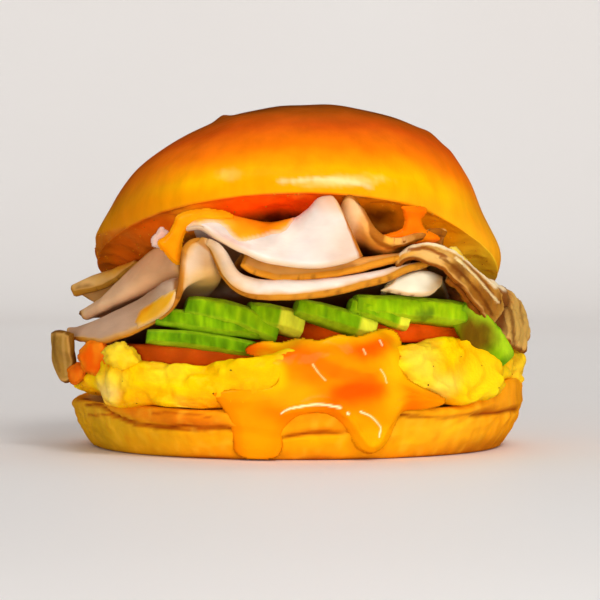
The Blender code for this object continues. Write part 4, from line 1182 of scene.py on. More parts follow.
@dataclass
class TurkeyFold:
    """Folded slice of turkey: a thin sheet through its rails, with a browned rim all round.

    Each rail is a line across the slice, from its front edge inwards. The rim is thinned over rim_taper, browned
    over about rim_mm, and charred in spots by the share char. Where deep is a colour, the middle of the slice, which
    lies in shade, is painted with it as painted shade.
    """

    number: int
    across: int
    rails: tuple[Rail, ...]
    inner: str
    rim: str
    rim_mm: float
    marks: Marks = ()
    crumple: float = 0.0
    char: float = 0.7
    # Colour of the painted shade in the middle of the slice, or empty for none.
    deep: str = ""
    node: str = ""
    even: bool = True
    thickness: float = 1.7
    rim_taper: float = 0.8
    toasted: str = "e0a654"
    charred: str = "5e2a06"
    finer: int = 5
    rows_per_rail: int = 14
    surface: np.ndarray | None = field(default=None, repr=False)

    def shape(self) -> np.ndarray:
        """Loft the slice through its rails, with a slightly wavy surface.

        Returns:
            Its middle surface, rows by columns, which it also keeps.
        """
        across = self.across * self.finer
        lines = [spline(np.array(rail), across, self.even) for rail in self.rails]
        rows = self.rows_per_rail * (len(self.rails) - 1) + 1
        columns = [spline([line[i] for line in lines], rows, even=False) for i in range(across)]
        surface = np.stack(columns, axis=1)
        wave = 0.22 * noise_at(surface, 6.0, self.number * 1.9) + 0.10 * noise_at(surface, 2.2, self.number * 2.3)
        wave += self.crumple * (0.6 * folds_at(surface, 5.0, 2.7) + 0.4 * folds_at(surface, 2.4, 6.1))
        self.surface = surface + grid_normals(surface) * wave[..., None]
        return self.surface

    def rim_distance(self) -> np.ndarray:
        """Measure how far each point lies from the slice's nearest edge.

        Returns:
            The distance along the slice.
        """
        grid = self.surface
        down = np.concatenate([np.zeros((1, grid.shape[1])),
                               np.cumsum(np.linalg.norm(np.diff(grid, axis=0), axis=2), axis=0)])
        along = np.concatenate([np.zeros((grid.shape[0], 1)),
                                np.cumsum(np.linalg.norm(np.diff(grid, axis=1), axis=2), axis=1)], axis=1)
        return np.minimum.reduce([down, down[-1:] - down, along, along[:, -1:] - along])

    def build(self, finish: bpy.types.Material) -> bpy.types.Object:
        """Build and paint the slice.

        Args:
            finish: the turkey's material.

        Returns:
            The piece.
        """
        surface = self.shape()
        gap = self.rim_distance()
        points, faces = sheet_body(surface, self.thickness * (0.30 + 0.70 * round_edge(gap / self.rim_taper)))
        uneven = self.rim_mm * (1.0 + 0.45 * noise_at(surface, 3.0, self.number * 0.7))
        blotch = 1.0 + 0.22 * noise_at(surface, 7.0, self.number * 1.1) + 0.08 * noise_at(surface, 2.0, self.number)
        tint = linear(self.inner) * blotch[..., None]
        # Painted shade: the middle of the slice, between its front and back edges, darkens to this colour.
        if self.deep:
            y = surface[..., 1]
            tint = mix(tint, self.deep, smoothstep(-44.0, -36.0, y) * (1.0 - smoothstep(16.0, 34.0, y)))
        # Patches lie under the browned rim, and strokes over it.
        tint = paint(surface, tint, tuple(mark for mark in self.marks if isinstance(mark, Patch)))
        tint = mix(tint, self.toasted, 0.75 * (1.0 - smoothstep(0.8, 2.4, gap / uneven)))
        tint = mix(tint, self.rim, 1.0 - smoothstep(0.45, 1.15, gap / uneven))
        tint = paint(surface, tint, tuple(mark for mark in self.marks if isinstance(mark, Stroke)))
        spots = smoothstep(0.25, 0.55, noise_at(surface, 1.1, self.number * 5.0))
        tint = mix(tint, self.charred, self.char * spots * (1.0 - smoothstep(0.1, 0.9, gap / uneven)))
        return make_piece(f"turkey_fold_{self.number}", points, faces, np.vstack([tint.reshape(-1, 3)] * 2), finish,
                          (self.node,) if self.node else ())


@dataclass
class SauceDrape:
    """Sauce over the front of the egg: a film with a rounded rim and two drips down the bottom bun.

    Its outline is seen from the front. The bulge gives, by height, the half width of the round that the sauce
    covers at least, so that it doesn't sink into deep creases.
    """

    step: float = 0.25
    thickness: float = 1.6
    rim: float = 2.2
    bridge: int = 22
    smooth: int = 31
    bead: float = 0.62
    glint_height: float = 0.15
    thick_below: tuple[float, float] = (14.0, 18.0)
    thin_left_of: tuple[float, float] = (-6.0, 2.0)
    edge_colour: str = "ffbe06"
    across: tuple[float, float] = (-24.0, 38.0)
    upward: tuple[float, float] = (0.35, 32.0)
    tones: Stops = ((-0.6, "f87402"), (0.0, "fb8a02"), (0.6, "fb9c04"))
    bulge: Path = ((10.0, 40.0), (12.0, 55.6), (16.0, 55.2), (20.0, 53.4), (24.0, 50.4), (27.0, 46.8), (29.5, 43.0))
    outline: Path = (
        (-19.9, 15.7), (-17.5, 12.9), (-15.5, 9.5), (-14.8, 4.9), (-14.3, 2.1), (-12.2, 0.9), (-8.3, 0.7),
        (-5.1, 1.4), (-3.9, 3.7), (-3.7, 6.7), (-1.8, 9.5), (1.2, 11.1), (5.1, 11.6), (8.5, 10.4), (11.1, 7.6),
        (12.7, 4.9), (14.8, 2.5), (17.1, 1.8), (19.6, 3.2), (21.5, 6.0), (22.9, 9.5), (24.5, 11.6), (28.2, 11.8),
        (32.8, 12.5), (34.2, 13.6), (31.9, 15.0), (28.2, 16.9), (24.8, 19.2), (23.4, 22.9), (23.6, 26.8),
        (22.6, 29.2), (19.2, 29.9), (14.4, 28.6), (9.7, 28.9), (4.8, 27.8), (0.5, 28.1), (-4.0, 27.0), (-8.3, 27.2),
        (-12.0, 25.6), (-8.3, 24.2), (-4.6, 21.5), (-4.2, 18.7), (-6.9, 16.8), (-13.4, 16.6),
    )
    # Highlights of the photo's lamps: thin bright strokes with a low relief of their own.
    glints: Marks = (
        Stroke(((-3.8, 11.5), (-2.6, 12.4), (-0.7, 13.0), (4.4, 13.5), (9.6, 12.9)), 0.15, "fff0b4", 1.0, 0.6, 0.03),
        Stroke(((11.0, 12.0), (11.5, 11.8)), 0.20, "fff0b4", 1.0, 0.5, 0.03),
        Stroke(((14.0, 12.1), (16.5, 11.0), (18.4, 8.9), (18.2, 6.2)), 0.15, "fff0b4", 1.0, 0.6, 0.03),
        Stroke(((3.4, 22.4), (4.6, 20.8), (6.2, 19.0)), 0.12, "ffe49a", 0.8, 0.6, 0.03),
        Stroke(((18.6, 27.4), (19.2, 26.2)), 0.14, "fff0c0", 0.8, 0.6, 0.3),
        Stroke(((14.8, 25.6), (15.3, 24.6)), 0.14, "ffe49a", 0.7, 0.6, 0.3),
        Stroke(((-14.6, 23.4), (-12.6, 21.0), (-10.8, 19.2)), 0.14, "ffeeb0", 0.7, 0.6, 0.3),
        Stroke(((18.8, 21.3), (19.8, 19.4), (20.2, 17.8)), 0.12, "ffe49a", 0.75, 0.6, 0.03),
    )
    marks: Marks = (
        Patch(-10.0, 25.6, 5.0, 2.0, "e64402", 0.95, 0.0, 0.6),
        Patch(15.5, 26.0, 5.5, 2.4, "ff5802", 0.95, 0.0, 0.7),
        Patch(-4.0, 26.0, 7.0, 2.4, "ff5a04", 0.85, 10.0, 0.7),
        Patch(4.0, 26.6, 7.0, 1.8, "fc7c06", 0.8, 0.0, 0.7),
        Patch(13.0, 16.2, 8.5, 2.6, "ff5202", 0.95, 8.0, 0.7),
        Patch(6.0, 21.5, 6.0, 3.0, "ff7804", 0.8, 0.0, 0.8),
        Stroke(((-1.0, 25.0), (4.0, 23.0), (10.0, 20.5), (16.0, 19.0)), 1.4, "ff6a04", 0.6),
        Patch(-1.0, 15.5, 6.0, 2.4, "fba60a", 0.7, 0.0, 0.8),
        Patch(-9.0, 5.0, 4.5, 6.0, "fd9f04", 0.6, 0.0, 0.8),
        Patch(18.0, 6.0, 4.5, 5.0, "fdb407", 0.7, 0.0, 0.8),
        Patch(22.0, 20.0, 2.4, 6.0, "fdb40a", 0.7, 0.0, 0.8),
    )

    def ground(self, backing: list[bpy.types.Object]) -> tuple[np.ndarray, np.ndarray]:
        """Find the surface that the sauce lies on.

        Args:
            backing: the pieces that carry it.

        Returns:
            A grid of points, rows from the bottom up, and the normals towards the front.
        """
        z, x = np.meshgrid(np.arange(*self.upward, self.step), np.arange(*self.across, self.step), indexing="ij")
        depth = front_depths(backing, x, z)
        reach = np.interp(z, *zip(*self.bulge))
        depth = np.minimum(depth, -np.sqrt(np.maximum(reach ** 2 - (x - 2.0) ** 2, 0.0)))
        depth = blur(fill_creases(depth, self.bridge), self.smooth)
        surface = np.stack([x, depth, z], axis=-1)
        normal = grid_normals(surface)
        return surface, normal * np.where(normal[..., 1:2] > 0, -1.0, 1.0)

    def build(self, backing: list[bpy.types.Object], finish: bpy.types.Material) -> bpy.types.Object:
        """Drape the sauce over what is behind it.

        Args:
            backing: the pieces that carry it.
            finish: the sauce's material.

        Returns:
            The piece.
        """
        surface, normal = self.ground(backing)
        x, z = surface[..., 0], surface[..., 2]
        inside = inside_distance(x + 0.25 * noise_at(surface, 3.0, 1.0), z, closed_spline(self.outline, 200))
        # The sauce is thick below and thinner above and at the left, with a bead along its lower rim.
        low = 1.0 - smoothstep(*self.thick_below, z)
        left = 1.0 - smoothstep(*self.thin_left_of, x)
        share = np.clip(inside / (self.rim * (1.0 + 1.6 * (1.0 - low) + 1.0 * left)), 0.0, 1.0)
        thick = self.thickness * (0.45 + 0.55 * low) * (1.0 - 0.72 * left) * round_edge(share)
        thick += self.bead * low * (1.0 - 0.9 * left) * bell(inside - 2.2, 0.85)
        thick += 0.16 * noise_at(surface, 9.0, 3.0) * share
        thick += self.glint_height * sum(glint.mask(surface) for glint in self.glints)
        points, faces, source = film_body(surface, normal, np.where(inside > 0.0, thick, inside * 1.2))
        tint = paint(surface, ramp(noise_at(surface, 7.0, 2.2), self.tones), self.marks)
        edge = (1.0 - smoothstep(0.0, 3.2, inside)) * (1.0 - low) * smoothstep(-12.0, -4.0, x)
        tint = paint(surface, mix(tint, self.edge_colour, (0.5 + 0.4 * left) * edge), self.glints)
        return make_piece("sauce_drape", points, faces, tint.reshape(-1, 3)[source], finish, ("sauce",),
                          weld=True)


def front_depths(pieces: list[bpy.types.Object], x: np.ndarray, z: np.ndarray) -> np.ndarray:
    """Find the nearest surface behind points seen from the front.

    Args:
        pieces: what to look at.
        x: across.
        z: up.

    Returns:
        The y of the first surface met at each point; where there is none, that of the nearest row with one.
    """
    trees = []
    for piece in pieces:
        bm = bmesh.new()
        bm.from_mesh(piece.data)
        trees.append(BVHTree.FromBMesh(bm))
        bm.free()
    start_y, back = -0.2, Vector((0.0, 1.0, 0.0))
    depth = np.full(x.shape, FAR)
    for place in np.ndindex(x.shape):
        start = Vector(((x[place] + SHIFT[0]) * MM, start_y, z[place] * MM))
        for tree in trees:
            hit = tree.ray_cast(start, back)[0]
            if hit is not None:
                depth[place] = min(depth[place], hit.y / MM - SHIFT[1])
    for i in range(1, depth.shape[0]):
        depth[i] = np.where(depth[i] > 0.0, depth[i - 1], depth[i])
    for i in range(depth.shape[0] - 2, -1, -1):
        depth[i] = np.where(depth[i] > 0.0, depth[i + 1], depth[i])
    return depth


def fill_creases(depth: np.ndarray, reach: int) -> np.ndarray:
    """Bridge the creases of a surface that are narrower than twice the reach.

    Args:
        depth: y of the surface on a grid; less is nearer the front.
        reach: in steps of the grid.

    Returns:
        The bridged depths.
    """
    for pick in (np.minimum, np.maximum):
        for _ in range(reach):
            edge = np.pad(depth, 1, mode="edge")
            depth = pick.reduce([depth, edge[:-2, 1:-1], edge[2:, 1:-1], edge[1:-1, :-2], edge[1:-1, 2:]])
    return depth


def blur(values: np.ndarray, rounds: int) -> np.ndarray:
    """Even out a grid of values with its neighbours.

    Args:
        values: on a grid.
        rounds: how often.

    Returns:
        The evened values.
    """
    for _ in range(rounds):
        edge = np.pad(values, 1, mode="edge")
        values = (edge[:-2, 1:-1] + edge[2:, 1:-1] + edge[1:-1, :-2] + edge[1:-1, 2:] + 2 * values) / 6.0
    return values


@dataclass
class TurkeyFilm:
    """A smear of sauce on the upper side of a turkey slice, bounded by an outline seen from the front."""

    name: str
    fold: int
    outline: Path
    shine: str = "fd9e12"
    thickness: float = 0.45
    rim: float = 1.6

    def build(self, fold: TurkeyFold, finish: bpy.types.Material) -> bpy.types.Object:
        """Lay the film on its slice.

        Args:
            fold: the slice, already built.
            finish: the sauce's material.

        Returns:
            The piece.
        """
        normal = grid_normals(fold.surface)
        surface = fold.surface + normal * 0.5 * fold.thickness
        inside = inside_distance(surface[..., 0], surface[..., 2], closed_spline(self.outline, 90))
        inside = inside + 0.35 * noise_at(surface, 2.5, 7.0)
        # None lies on what faces away from the camera, or on the slice's very rim.
        facing = 0.3 * normal[..., 2] - normal[..., 1]
        inside = np.where(facing > -0.05, inside, -2.0)
        inside = np.minimum(inside, fold.rim_distance() - 0.4)
        thick = np.where(inside > 0.0, self.thickness * round_edge(inside / self.rim), inside)
        points, faces, source = film_body(surface, normal, thick)
        tint = ramp(noise_at(surface, 5.0, 2.9), ((-0.6, "f78a0c"), (0.0, self.shine), (0.6, "fdb02a")))
        tint = mix(tint, fold.inner, 0.5 * (1.0 - smoothstep(0.0, 0.7, inside)))
        return make_piece(self.name, points, faces, tint.reshape(-1, 3)[source], finish, weld=True)


@dataclass
class Dab:
    """A small flattened piece with a rounded edge, such as a run of sauce or a scrap.

    Its outline is seen from the front, and its back lies at depth, which changes by lean for each millimetre
    across and up.
    """

    name: str
    outline: Path
    depth: float
    tones: tuple[str, str]
    slot: Slot = Slot.SAUCE
    lean: tuple[float, float] = (0.0, 0.0)
    thickness: float = 1.2
    edge: float = 1.4
    step: float = 0.2
    ragged: float = 0.15

    def build(self, finish: bpy.types.Material) -> bpy.types.Object:
        """Build and paint the piece.

        Args:
            finish: its material.

        Returns:
            The piece.
        """
        outline = closed_spline(self.outline, 90)
        low, high = outline.min(axis=0) - 1.0, outline.max(axis=0) + 1.0
        z, x = np.meshgrid(np.arange(low[1], high[1], self.step), np.arange(low[0], high[0], self.step), indexing="ij")
        middle = 0.5 * (low + high)
        y = self.depth + self.lean[0] * (x - middle[0]) + self.lean[1] * (z - middle[1])
        surface = np.stack([x, y, z], axis=-1)
        inside = inside_distance(x, z, outline) + self.ragged * noise_at(surface, 1.5, self.depth)
        share = np.clip(inside / self.edge, 0.0, 1.0)
        thick = self.thickness * round_edge(share) + 0.15 * share * noise_at(surface, 2.5, 3.0)
        forward = np.broadcast_to(np.array([0.0, -1.0, 0.0]), surface.shape)
        points, faces, source = film_body(surface, forward, np.where(inside > 0.0, thick, inside))
        tint = ramp(noise_at(surface, 2.5, self.depth), ((-0.5, self.tones[0]), (0.5, self.tones[1])))
        return make_piece(self.name, points, faces, tint.reshape(-1, 3)[source], finish, weld=True)


# The deep colours of slices 1, 4, 6 and 8 are painted shade in their middles.
TURKEY_FOLDS = (
    TurkeyFold(1, 36, (
        ((-54.4, -14.0, 26.8), (-51.4, -21.4, 26.4), (-44.0, -34.0, 26.9), (-32.8, -44.0, 31.9),
         (-28.2, -49.0, 36.4), (-27.3, -50.5, 43.6), (-26.4, -50.5, 49.4), (-23.4, -50.5, 51.3),
         (-20.6, -50.5, 49.2), (-17.6, -50.5, 42.8), (-13.4, -51.0, 38.6), (-6.9, -52.0, 37.4),
         (5.0, -52.0, 38.2), (18.2, -50.0, 41.2), (25.3, -47.0, 44.0), (30.5, -43.5, 45.6)),
        ((-55.6, -5.0, 28.0), (-52.6, -11.0, 28.6), (-47.0, -19.0, 31.0), (-37.0, -30.0, 36.0),
         (-30.0, -40.5, 40.6), (-19.6, -42.8, 41.4), (-18.8, -43.6, 44.8), (-20.0, -45.0, 47.8),
         (-17.4, -46.0, 47.0), (-14.6, -46.0, 43.0), (-11.0, -45.5, 41.4), (-6.9, -44.5, 40.9),
         (4.5, -43.0, 41.1), (16.5, -41.0, 42.2), (24.0, -39.0, 43.3), (30.5, -36.0, 43.6)),
        ((-50.0, 12.0, 24.6), (-44.0, 9.0, 25.4), (-28.0, 8.0, 27.2), (-18.0, 6.0, 31.2),
         (8.0, 5.0, 32.8), (42.0, 10.0, 34.2)),
        ((-34.0, 40.0, 23.4), (-28.0, 43.0, 24.4), (-18.0, 46.0, 26.5), (4.0, 48.5, 27.6),
         (33.0, 40.0, 29.6)),
    ), node="turkey_slice_1", inner="e4c8ac", rim="cc8420", rim_mm=1.2, even=False, deep="a56a34", marks=(
        # Painted shade: the left wing is tan.
        Patch(-44.0, 31.0, 13.0, 5.0, "d8b496", 0.7, 25.0, 0.7),
        Patch(-34.0, 38.0, 8.0, 3.4, "c09470", 0.7, 35.0, 0.7),
        # Painted shade inside the pleat: pale at its left wall, brown at its right side, warm at its foot.
        Patch(-20.4, 44.4, 3.0, 7.0, "b88448", 0.85, 8.0, 0.8),
        Patch(-24.4, 44.0, 1.8, 6.0, "dab68c", 0.6, 4.0, 0.8),
        Patch(-21.6, 41.0, 5.0, 3.0, "e0b060", 0.85, 30.0, 0.7),
        Patch(6.0, 41.0, 22.0, 1.6, "f6e6da", 0.6, 5.0, 0.6),
        Patch(-12.0, 42.6, 4.0, 1.4, "c89a6c", 0.6, -20.0, 0.8),
        Stroke(((-31.0, 33.0), (-28.2, 36.4), (-27.3, 43.6), (-26.4, 49.4), (-23.4, 51.3), (-20.6, 49.2),
                (-18.6, 45.4), (-16.6, 41.4), (-13.4, 38.6), (-6.9, 37.4)), 0.6, "b8701c", 0.8),
        Stroke(((-27.9, 38.0), (-27.3, 43.6), (-26.6, 48.0)), 0.4, "8a4c10", 0.6),
    )),
    TurkeyFold(2, 12, (
        ((-45.0, 10.0, 30.8), (-36.0, 10.0, 31.4), (-27.0, 10.0, 31.6)),
        ((-49.0, -5.0, 32.0), (-39.0, -14.0, 36.0), (-27.5, -22.0, 40.2)),
        ((-51.6, -9.0, 31.6), (-46.5, -18.5, 34.6), (-38.5, -28.0, 38.8), (-31.5, -32.5, 42.2),
         (-26.8, -35.6, 44.2)),
        ((-53.2, -4.0, 32.0), (-47.0, -8.5, 36.0), (-43.3, -12.5, 39.6), (-38.0, -18.0, 45.0),
         (-33.5, -23.0, 48.6), (-29.5, -26.0, 49.8), (-26.4, -29.0, 50.4)),
    ), node="turkey_slice_2", inner="f4bf90", rim="8c5410", rim_mm=1.1, marks=(
        # Painted shade: darker tan over the left part of the slice.
        Patch(-33.0, 46.0, 7.0, 3.0, "c48c58", 0.6, 50.0, 0.8),
        Patch(-35.0, 40.0, 9.0, 4.0, "dca06a", 0.5, 45.0, 0.8),
        Patch(-29.0, 41.0, 3.0, 3.0, "ac7434", 0.6, 0.0, 0.8),
        Patch(-46.0, 35.0, 6.0, 4.0, "dcae80", 0.6, 40.0, 0.7),
    )),
    TurkeyFold(3, 11, (
        ((-54.8, -1.0, 36.6), (-49.0, -4.0, 37.9), (-44.0, -8.0, 40.3), (-38.0, -12.5, 44.8)),
        ((-55.2, 3.0, 38.0), (-49.5, 1.0, 40.6), (-44.5, -2.0, 42.2), (-38.0, -6.0, 44.0)),
        ((-50.0, 16.0, 34.4), (-40.0, 14.0, 36.0), (-29.0, 12.0, 37.2)),
        ((-40.0, 34.0, 29.8), (-33.0, 40.0, 31.2), (-25.0, 43.5, 31.8)),
    ), node="turkey_slice_3", inner="eab468", rim="a8701c", rim_mm=1.0, marks=(
        Patch(-40.0, 44.0, 8.0, 1.4, "e09a10", 0.85, 20.0, 0.6),
        Patch(-52.0, 37.5, 3.0, 1.2, "6a3c08", 0.8, 10.0, 0.6),
    )),
    TurkeyFold(4, 18, (
        ((-13.2, -49.0, 45.2), (-10.6, -49.2, 43.4), (-6.5, -49.0, 42.2), (-1.8, -49.0, 41.8), (9.9, -48.5, 43.2),
         (19.0, -47.0, 45.4), (25.0, -44.5, 46.9), (30.0, -40.5, 47.8)),
        ((-12.6, -36.0, 48.4), (-7.4, -37.0, 46.8), (4.0, -38.0, 45.2), (16.0, -37.0, 45.6), (27.0, -33.0, 46.4)),
        ((-22.0, 5.0, 33.2), (0.0, 5.0, 34.4), (24.0, 6.0, 36.6)),
        ((-17.0, 46.5, 30.0), (0.0, 49.0, 29.4), (19.0, 46.0, 32.0)),
    ), node="turkey_slice_4", inner="f0a850", rim="dc8c20", rim_mm=1.4, char=0.5, deep="7a3c12"),
    TurkeyFold(5, 24, (
        ((-26.6, -46.0, 53.4), (-22.4, -48.0, 53.6), (-18.7, -50.0, 51.2), (-12.9, -51.0, 48.2), (-7.8, -52.0, 46.2),
         (-1.2, -52.0, 44.8), (5.1, -52.0, 44.6), (10.8, -51.0, 45.6), (15.0, -49.2, 47.2)),
        ((-26.0, -38.0, 56.2), (-19.0, -38.5, 56.2), (-13.6, -39.0, 54.9), (-6.8, -41.0, 53.4), (-0.7, -43.5, 54.6),
         (3.0, -45.0, 57.2), (5.6, -46.5, 59.8), (8.8, -47.0, 60.2)),
        ((-24.0, -23.0, 50.4), (-14.0, -24.0, 50.4), (0.0, -26.0, 51.5), (7.0, -30.0, 54.5)),
        ((-22.0, 6.0, 36.8), (-12.0, 5.0, 38.2), (2.0, 5.0, 38.6), (6.0, 5.0, 39.0)),
        ((-16.0, 46.0, 33.4), (-6.0, 48.0, 32.8), (4.0, 48.0, 33.4)),
    ), node="turkey_slice_5", inner="f0dccb", rim="e0bc94", rim_mm=0.35, char=0.0, marks=(
        Stroke(((8.6, 61.4), (10.5, 58.4), (12.2, 53.4), (13.5, 49.6), (14.8, 46.6)), 0.62, "b4661a", 1.0, 0.3, 0.15),
        Patch(3.0, 50.0, 3.0, 9.0, "f7ece2", 0.6, -20.0, 0.8),
        Patch(8.0, 60.0, 3.0, 2.6, "e2a070", 0.8, 0.0, 0.8),
        # Painted shade on the right half of the swoosh.
        Patch(11.0, 50.0, 2.4, 6.0, "ddb08c", 0.6, -16.0, 0.8),
        Patch(8.0, 50.0, 7.0, 6.0, "d9bda8", 0.5, -30.0, 0.8),
        Patch(-17.0, 50.4, 6.0, 1.0, "e0b4a0", 0.7, -18.0, 0.6),
        Patch(-15.4, 47.4, 4.0, 1.8, "c07c34", 0.9, -38.0, 0.6),
    )),
    TurkeyFold(6, 22, (
        ((9.6, -40.0, 50.5), (9.9, -41.5, 57.5), (11.2, -43.2, 61.2), (13.4, -44.2, 60.6), (15.2, -44.8, 56.8),
         (17.6, -45.4, 52.6), (21.8, -44.8, 49.8), (27.8, -41.0, 51.2), (32.0, -37.0, 52.8), (35.0, -32.0, 52.0)),
        ((10.4, -35.0, 47.2), (10.6, -38.2, 49.0), (11.6, -40.6, 51.0), (13.4, -41.6, 52.0), (15.4, -42.0, 51.6),
         (17.6, -42.0, 50.2), (21.4, -41.5, 49.2), (27.6, -36.0, 50.8), (34.5, -27.0, 51.6)),
        ((11.0, 5.0, 39.6), (24.0, 6.0, 40.2), (34.0, 7.0, 40.0)),
        ((11.0, 47.0, 34.6), (20.0, 45.0, 35.0), (29.0, 41.0, 34.8)),
    ), node="turkey_slice_6", inner="f0a862", rim="a8600e", rim_mm=1.0, deep="8a4010", marks=(
        Patch(26.0, 53.6, 9.0, 2.4, "fb9c26", 0.9, -10.0, 0.6),
        Patch(13.0, 57.0, 1.6, 5.0, "f2bc84", 0.8, -15.0, 0.6),
        Patch(19.5, 50.6, 5.0, 2.0, "ffae34", 0.85, -25.0, 0.6),
        Stroke(((9.9, 57.5), (11.2, 61.2), (13.4, 60.6), (15.2, 56.8), (17.6, 52.6), (21.8, 49.8), (27.8, 51.2),
                (33.0, 52.6)), 0.5, "a4580e", 0.9, 0.4),
    )),
    TurkeyFold(7, 16, (
        ((34.6, -44.8, 41.4), (38.0, -42.0, 38.0), (42.0, -37.5, 33.4), (46.0, -31.0, 28.6),
         (50.4, -23.0, 25.2), (54.6, -10.0, 22.8)),
        ((35.2, -42.0, 44.4), (41.0, -35.0, 40.5), (46.5, -27.0, 36.0), (52.0, -17.0, 31.5),
         (55.6, -7.0, 28.6)),
        ((30.0, -37.0, 49.6), (35.5, -34.0, 46.4), (41.5, -28.0, 42.4), (48.5, -18.5, 38.2),
         (54.0, -5.0, 34.2)),
        ((28.0, -22.0, 45.0), (37.5, -14.0, 41.6), (45.0, -6.0, 38.4), (50.5, 6.0, 35.4)),
        ((32.0, 12.0, 37.0), (42.0, 14.0, 36.8), (50.0, 18.0, 34.0)),
        ((31.0, 38.0, 32.0), (38.0, 33.0, 32.0), (44.0, 26.0, 31.6)),
    ), node="turkey_slice_7", inner="e0ae58", rim="8a4a0c", rim_mm=1.0, marks=(
        Patch(42.0, 36.0, 8.0, 7.0, "a4560a", 0.9, -50.0, 0.5, 0.5),
        Patch(45.5, 32.0, 3.5, 6.5, "5e2604", 0.9, -20.0, 0.5, 0.6),
        Patch(52.5, 31.0, 3.4, 6.5, "c99a48", 0.9, 0.0, 0.4, 0.2),
        Patch(36.0, 46.0, 7.0, 2.0, "a8560e", 0.8, -35.0, 0.5, 0.6),
        # Painted highlight along the crest of the slice.
        Stroke(((28.0, 49.2), (32.0, 48.8), (36.0, 46.2), (41.0, 43.0), (48.6, 38.4)), 0.6, "f6dcae", 0.95),
        Stroke(((29.0, 50.2), (33.0, 49.6), (37.0, 47.2)), 0.45, "7a3a06", 0.9),
        Stroke(((36.0, 41.6), (41.0, 36.0), (44.0, 30.0)), 0.6, "5e2604", 0.8),
        Stroke(((49.4, 36.0), (50.4, 31.0), (50.8, 26.0)), 0.5, "7a4410", 0.8),
        Stroke(((52.6, 35.0), (53.4, 30.0)), 0.35, "96682a", 0.7),
        Patch(33.0, 48.4, 4.0, 0.9, "c86a0c", 0.9, -20.0, 0.4, 0.5),
    ), crumple=0.7),
    TurkeyFold(8, 10, (
        ((19.2, -45.6, 39.2), (25.5, -45.8, 38.0), (30.5, -44.4, 38.0), (33.4, -41.8, 40.2)),
        ((22.5, -44.4, 41.2), (27.0, -43.8, 42.4), (30.5, -42.4, 42.6), (33.8, -40.2, 41.6)),
        ((20.0, -37.5, 39.0), (26.0, -37.0, 40.2), (31.0, -35.5, 40.6), (34.5, -33.5, 40.2)),
        ((18.0, 4.0, 31.0), (28.0, 5.0, 31.0), (39.0, 6.0, 31.0)),
        ((21.0, 13.0, 30.6), (28.0, 14.0, 30.6), (37.0, 13.0, 30.6)),
    ), node="turkey_slice_8", inner="dccfb2", rim="cdb488", rim_mm=0.5, deep="8a6a30", marks=(
        Patch(34.0, 41.0, 4.0, 2.0, "b8863c", 0.7, 20.0, 0.7),
    )),
    TurkeyFold(9, 8, (
        ((-56.8, -12.5, 16.8), (-55.6, -14.5, 15.9), (-54.2, -15.5, 16.8)),
        ((-58.9, -9.0, 21.0), (-57.0, -13.5, 20.8), (-53.4, -16.5, 21.1)),
        ((-59.0, -11.0, 25.0), (-57.2, -16.8, 24.8), (-53.6, -20.4, 24.2)),
        ((-58.9, -12.0, 28.2), (-57.2, -17.6, 28.8), (-53.8, -22.0, 28.2)),
    ), node="turkey_slice_9", inner="b08030", rim="7a4c10", rim_mm=0.7, marks=(
        Stroke(((-57.6, 28.6), (-57.8, 24.0), (-56.8, 19.0)), 0.35, "8a5c1c", 0.6),
        Stroke(((-55.4, 28.0), (-55.6, 23.0), (-55.2, 18.0)), 0.35, "d0a050", 0.6),
    )),
)

CRISPED_FLAP = TurkeyFold(10, 14, (
    ((22.8, -46.4, 44.4), (26.0, -46.8, 46.4), (30.0, -46.2, 45.4), (34.0, -46.4, 43.4), (38.4, -43.6, 39.2),
     (42.4, -38.8, 34.4), (45.6, -33.6, 30.2)),
    ((22.6, -44.6, 46.0), (26.4, -45.0, 48.4), (30.6, -44.6, 48.0), (35.4, -43.4, 45.8), (40.4, -39.4, 41.6),
     (44.8, -33.6, 36.6), (48.4, -26.0, 33.2)),
    ((23.4, -42.0, 47.4), (27.4, -42.0, 49.6), (31.6, -41.0, 49.8), (36.6, -38.6, 48.0), (41.8, -34.0, 44.0),
     (46.8, -28.0, 39.4), (50.0, -19.0, 36.6)),
), inner="da9a3a", rim="86460a", rim_mm=0.7, char=0.9, crumple=0.5, thickness=0.9, marks=(
    Patch(31.0, 47.0, 4.0, 1.4, "e8b468", 0.8, -10.0, 0.6, 0.5),
    Patch(37.0, 43.0, 3.0, 2.0, "6a3008", 0.8, -40.0, 0.6, 0.6),
    Patch(43.0, 37.0, 5.0, 4.6, "8c4c06", 0.85, -40.0, 0.6, 0.6),
    Stroke(((33.0, 46.6), (36.4, 44.2), (40.0, 40.6), (43.0, 37.0), (45.4, 33.0)), 0.34, "703404", 0.8, 0.5, 0.6),
    # Painted highlight across the flap.
    Stroke(((36.6, 46.4), (40.0, 43.4), (43.6, 39.6), (47.0, 35.8)), 0.3, "ffe2a4", 0.75, 0.5, 0.5),
    Stroke(((38.6, 45.6), (42.4, 41.8), (45.6, 38.0)), 0.35, "84440a", 0.8, 0.5, 0.6),
    # Painted highlight along the top edge.
    Stroke(((24.0, 47.6), (28.0, 49.6), (32.0, 49.6), (37.0, 47.6), (42.0, 43.6), (46.4, 39.6)), 0.5, "f6dcae", 0.9),
    Stroke(((26.0, 48.4), (30.0, 48.6), (34.0, 46.8)), 0.35, "8a4206", 0.9),
))

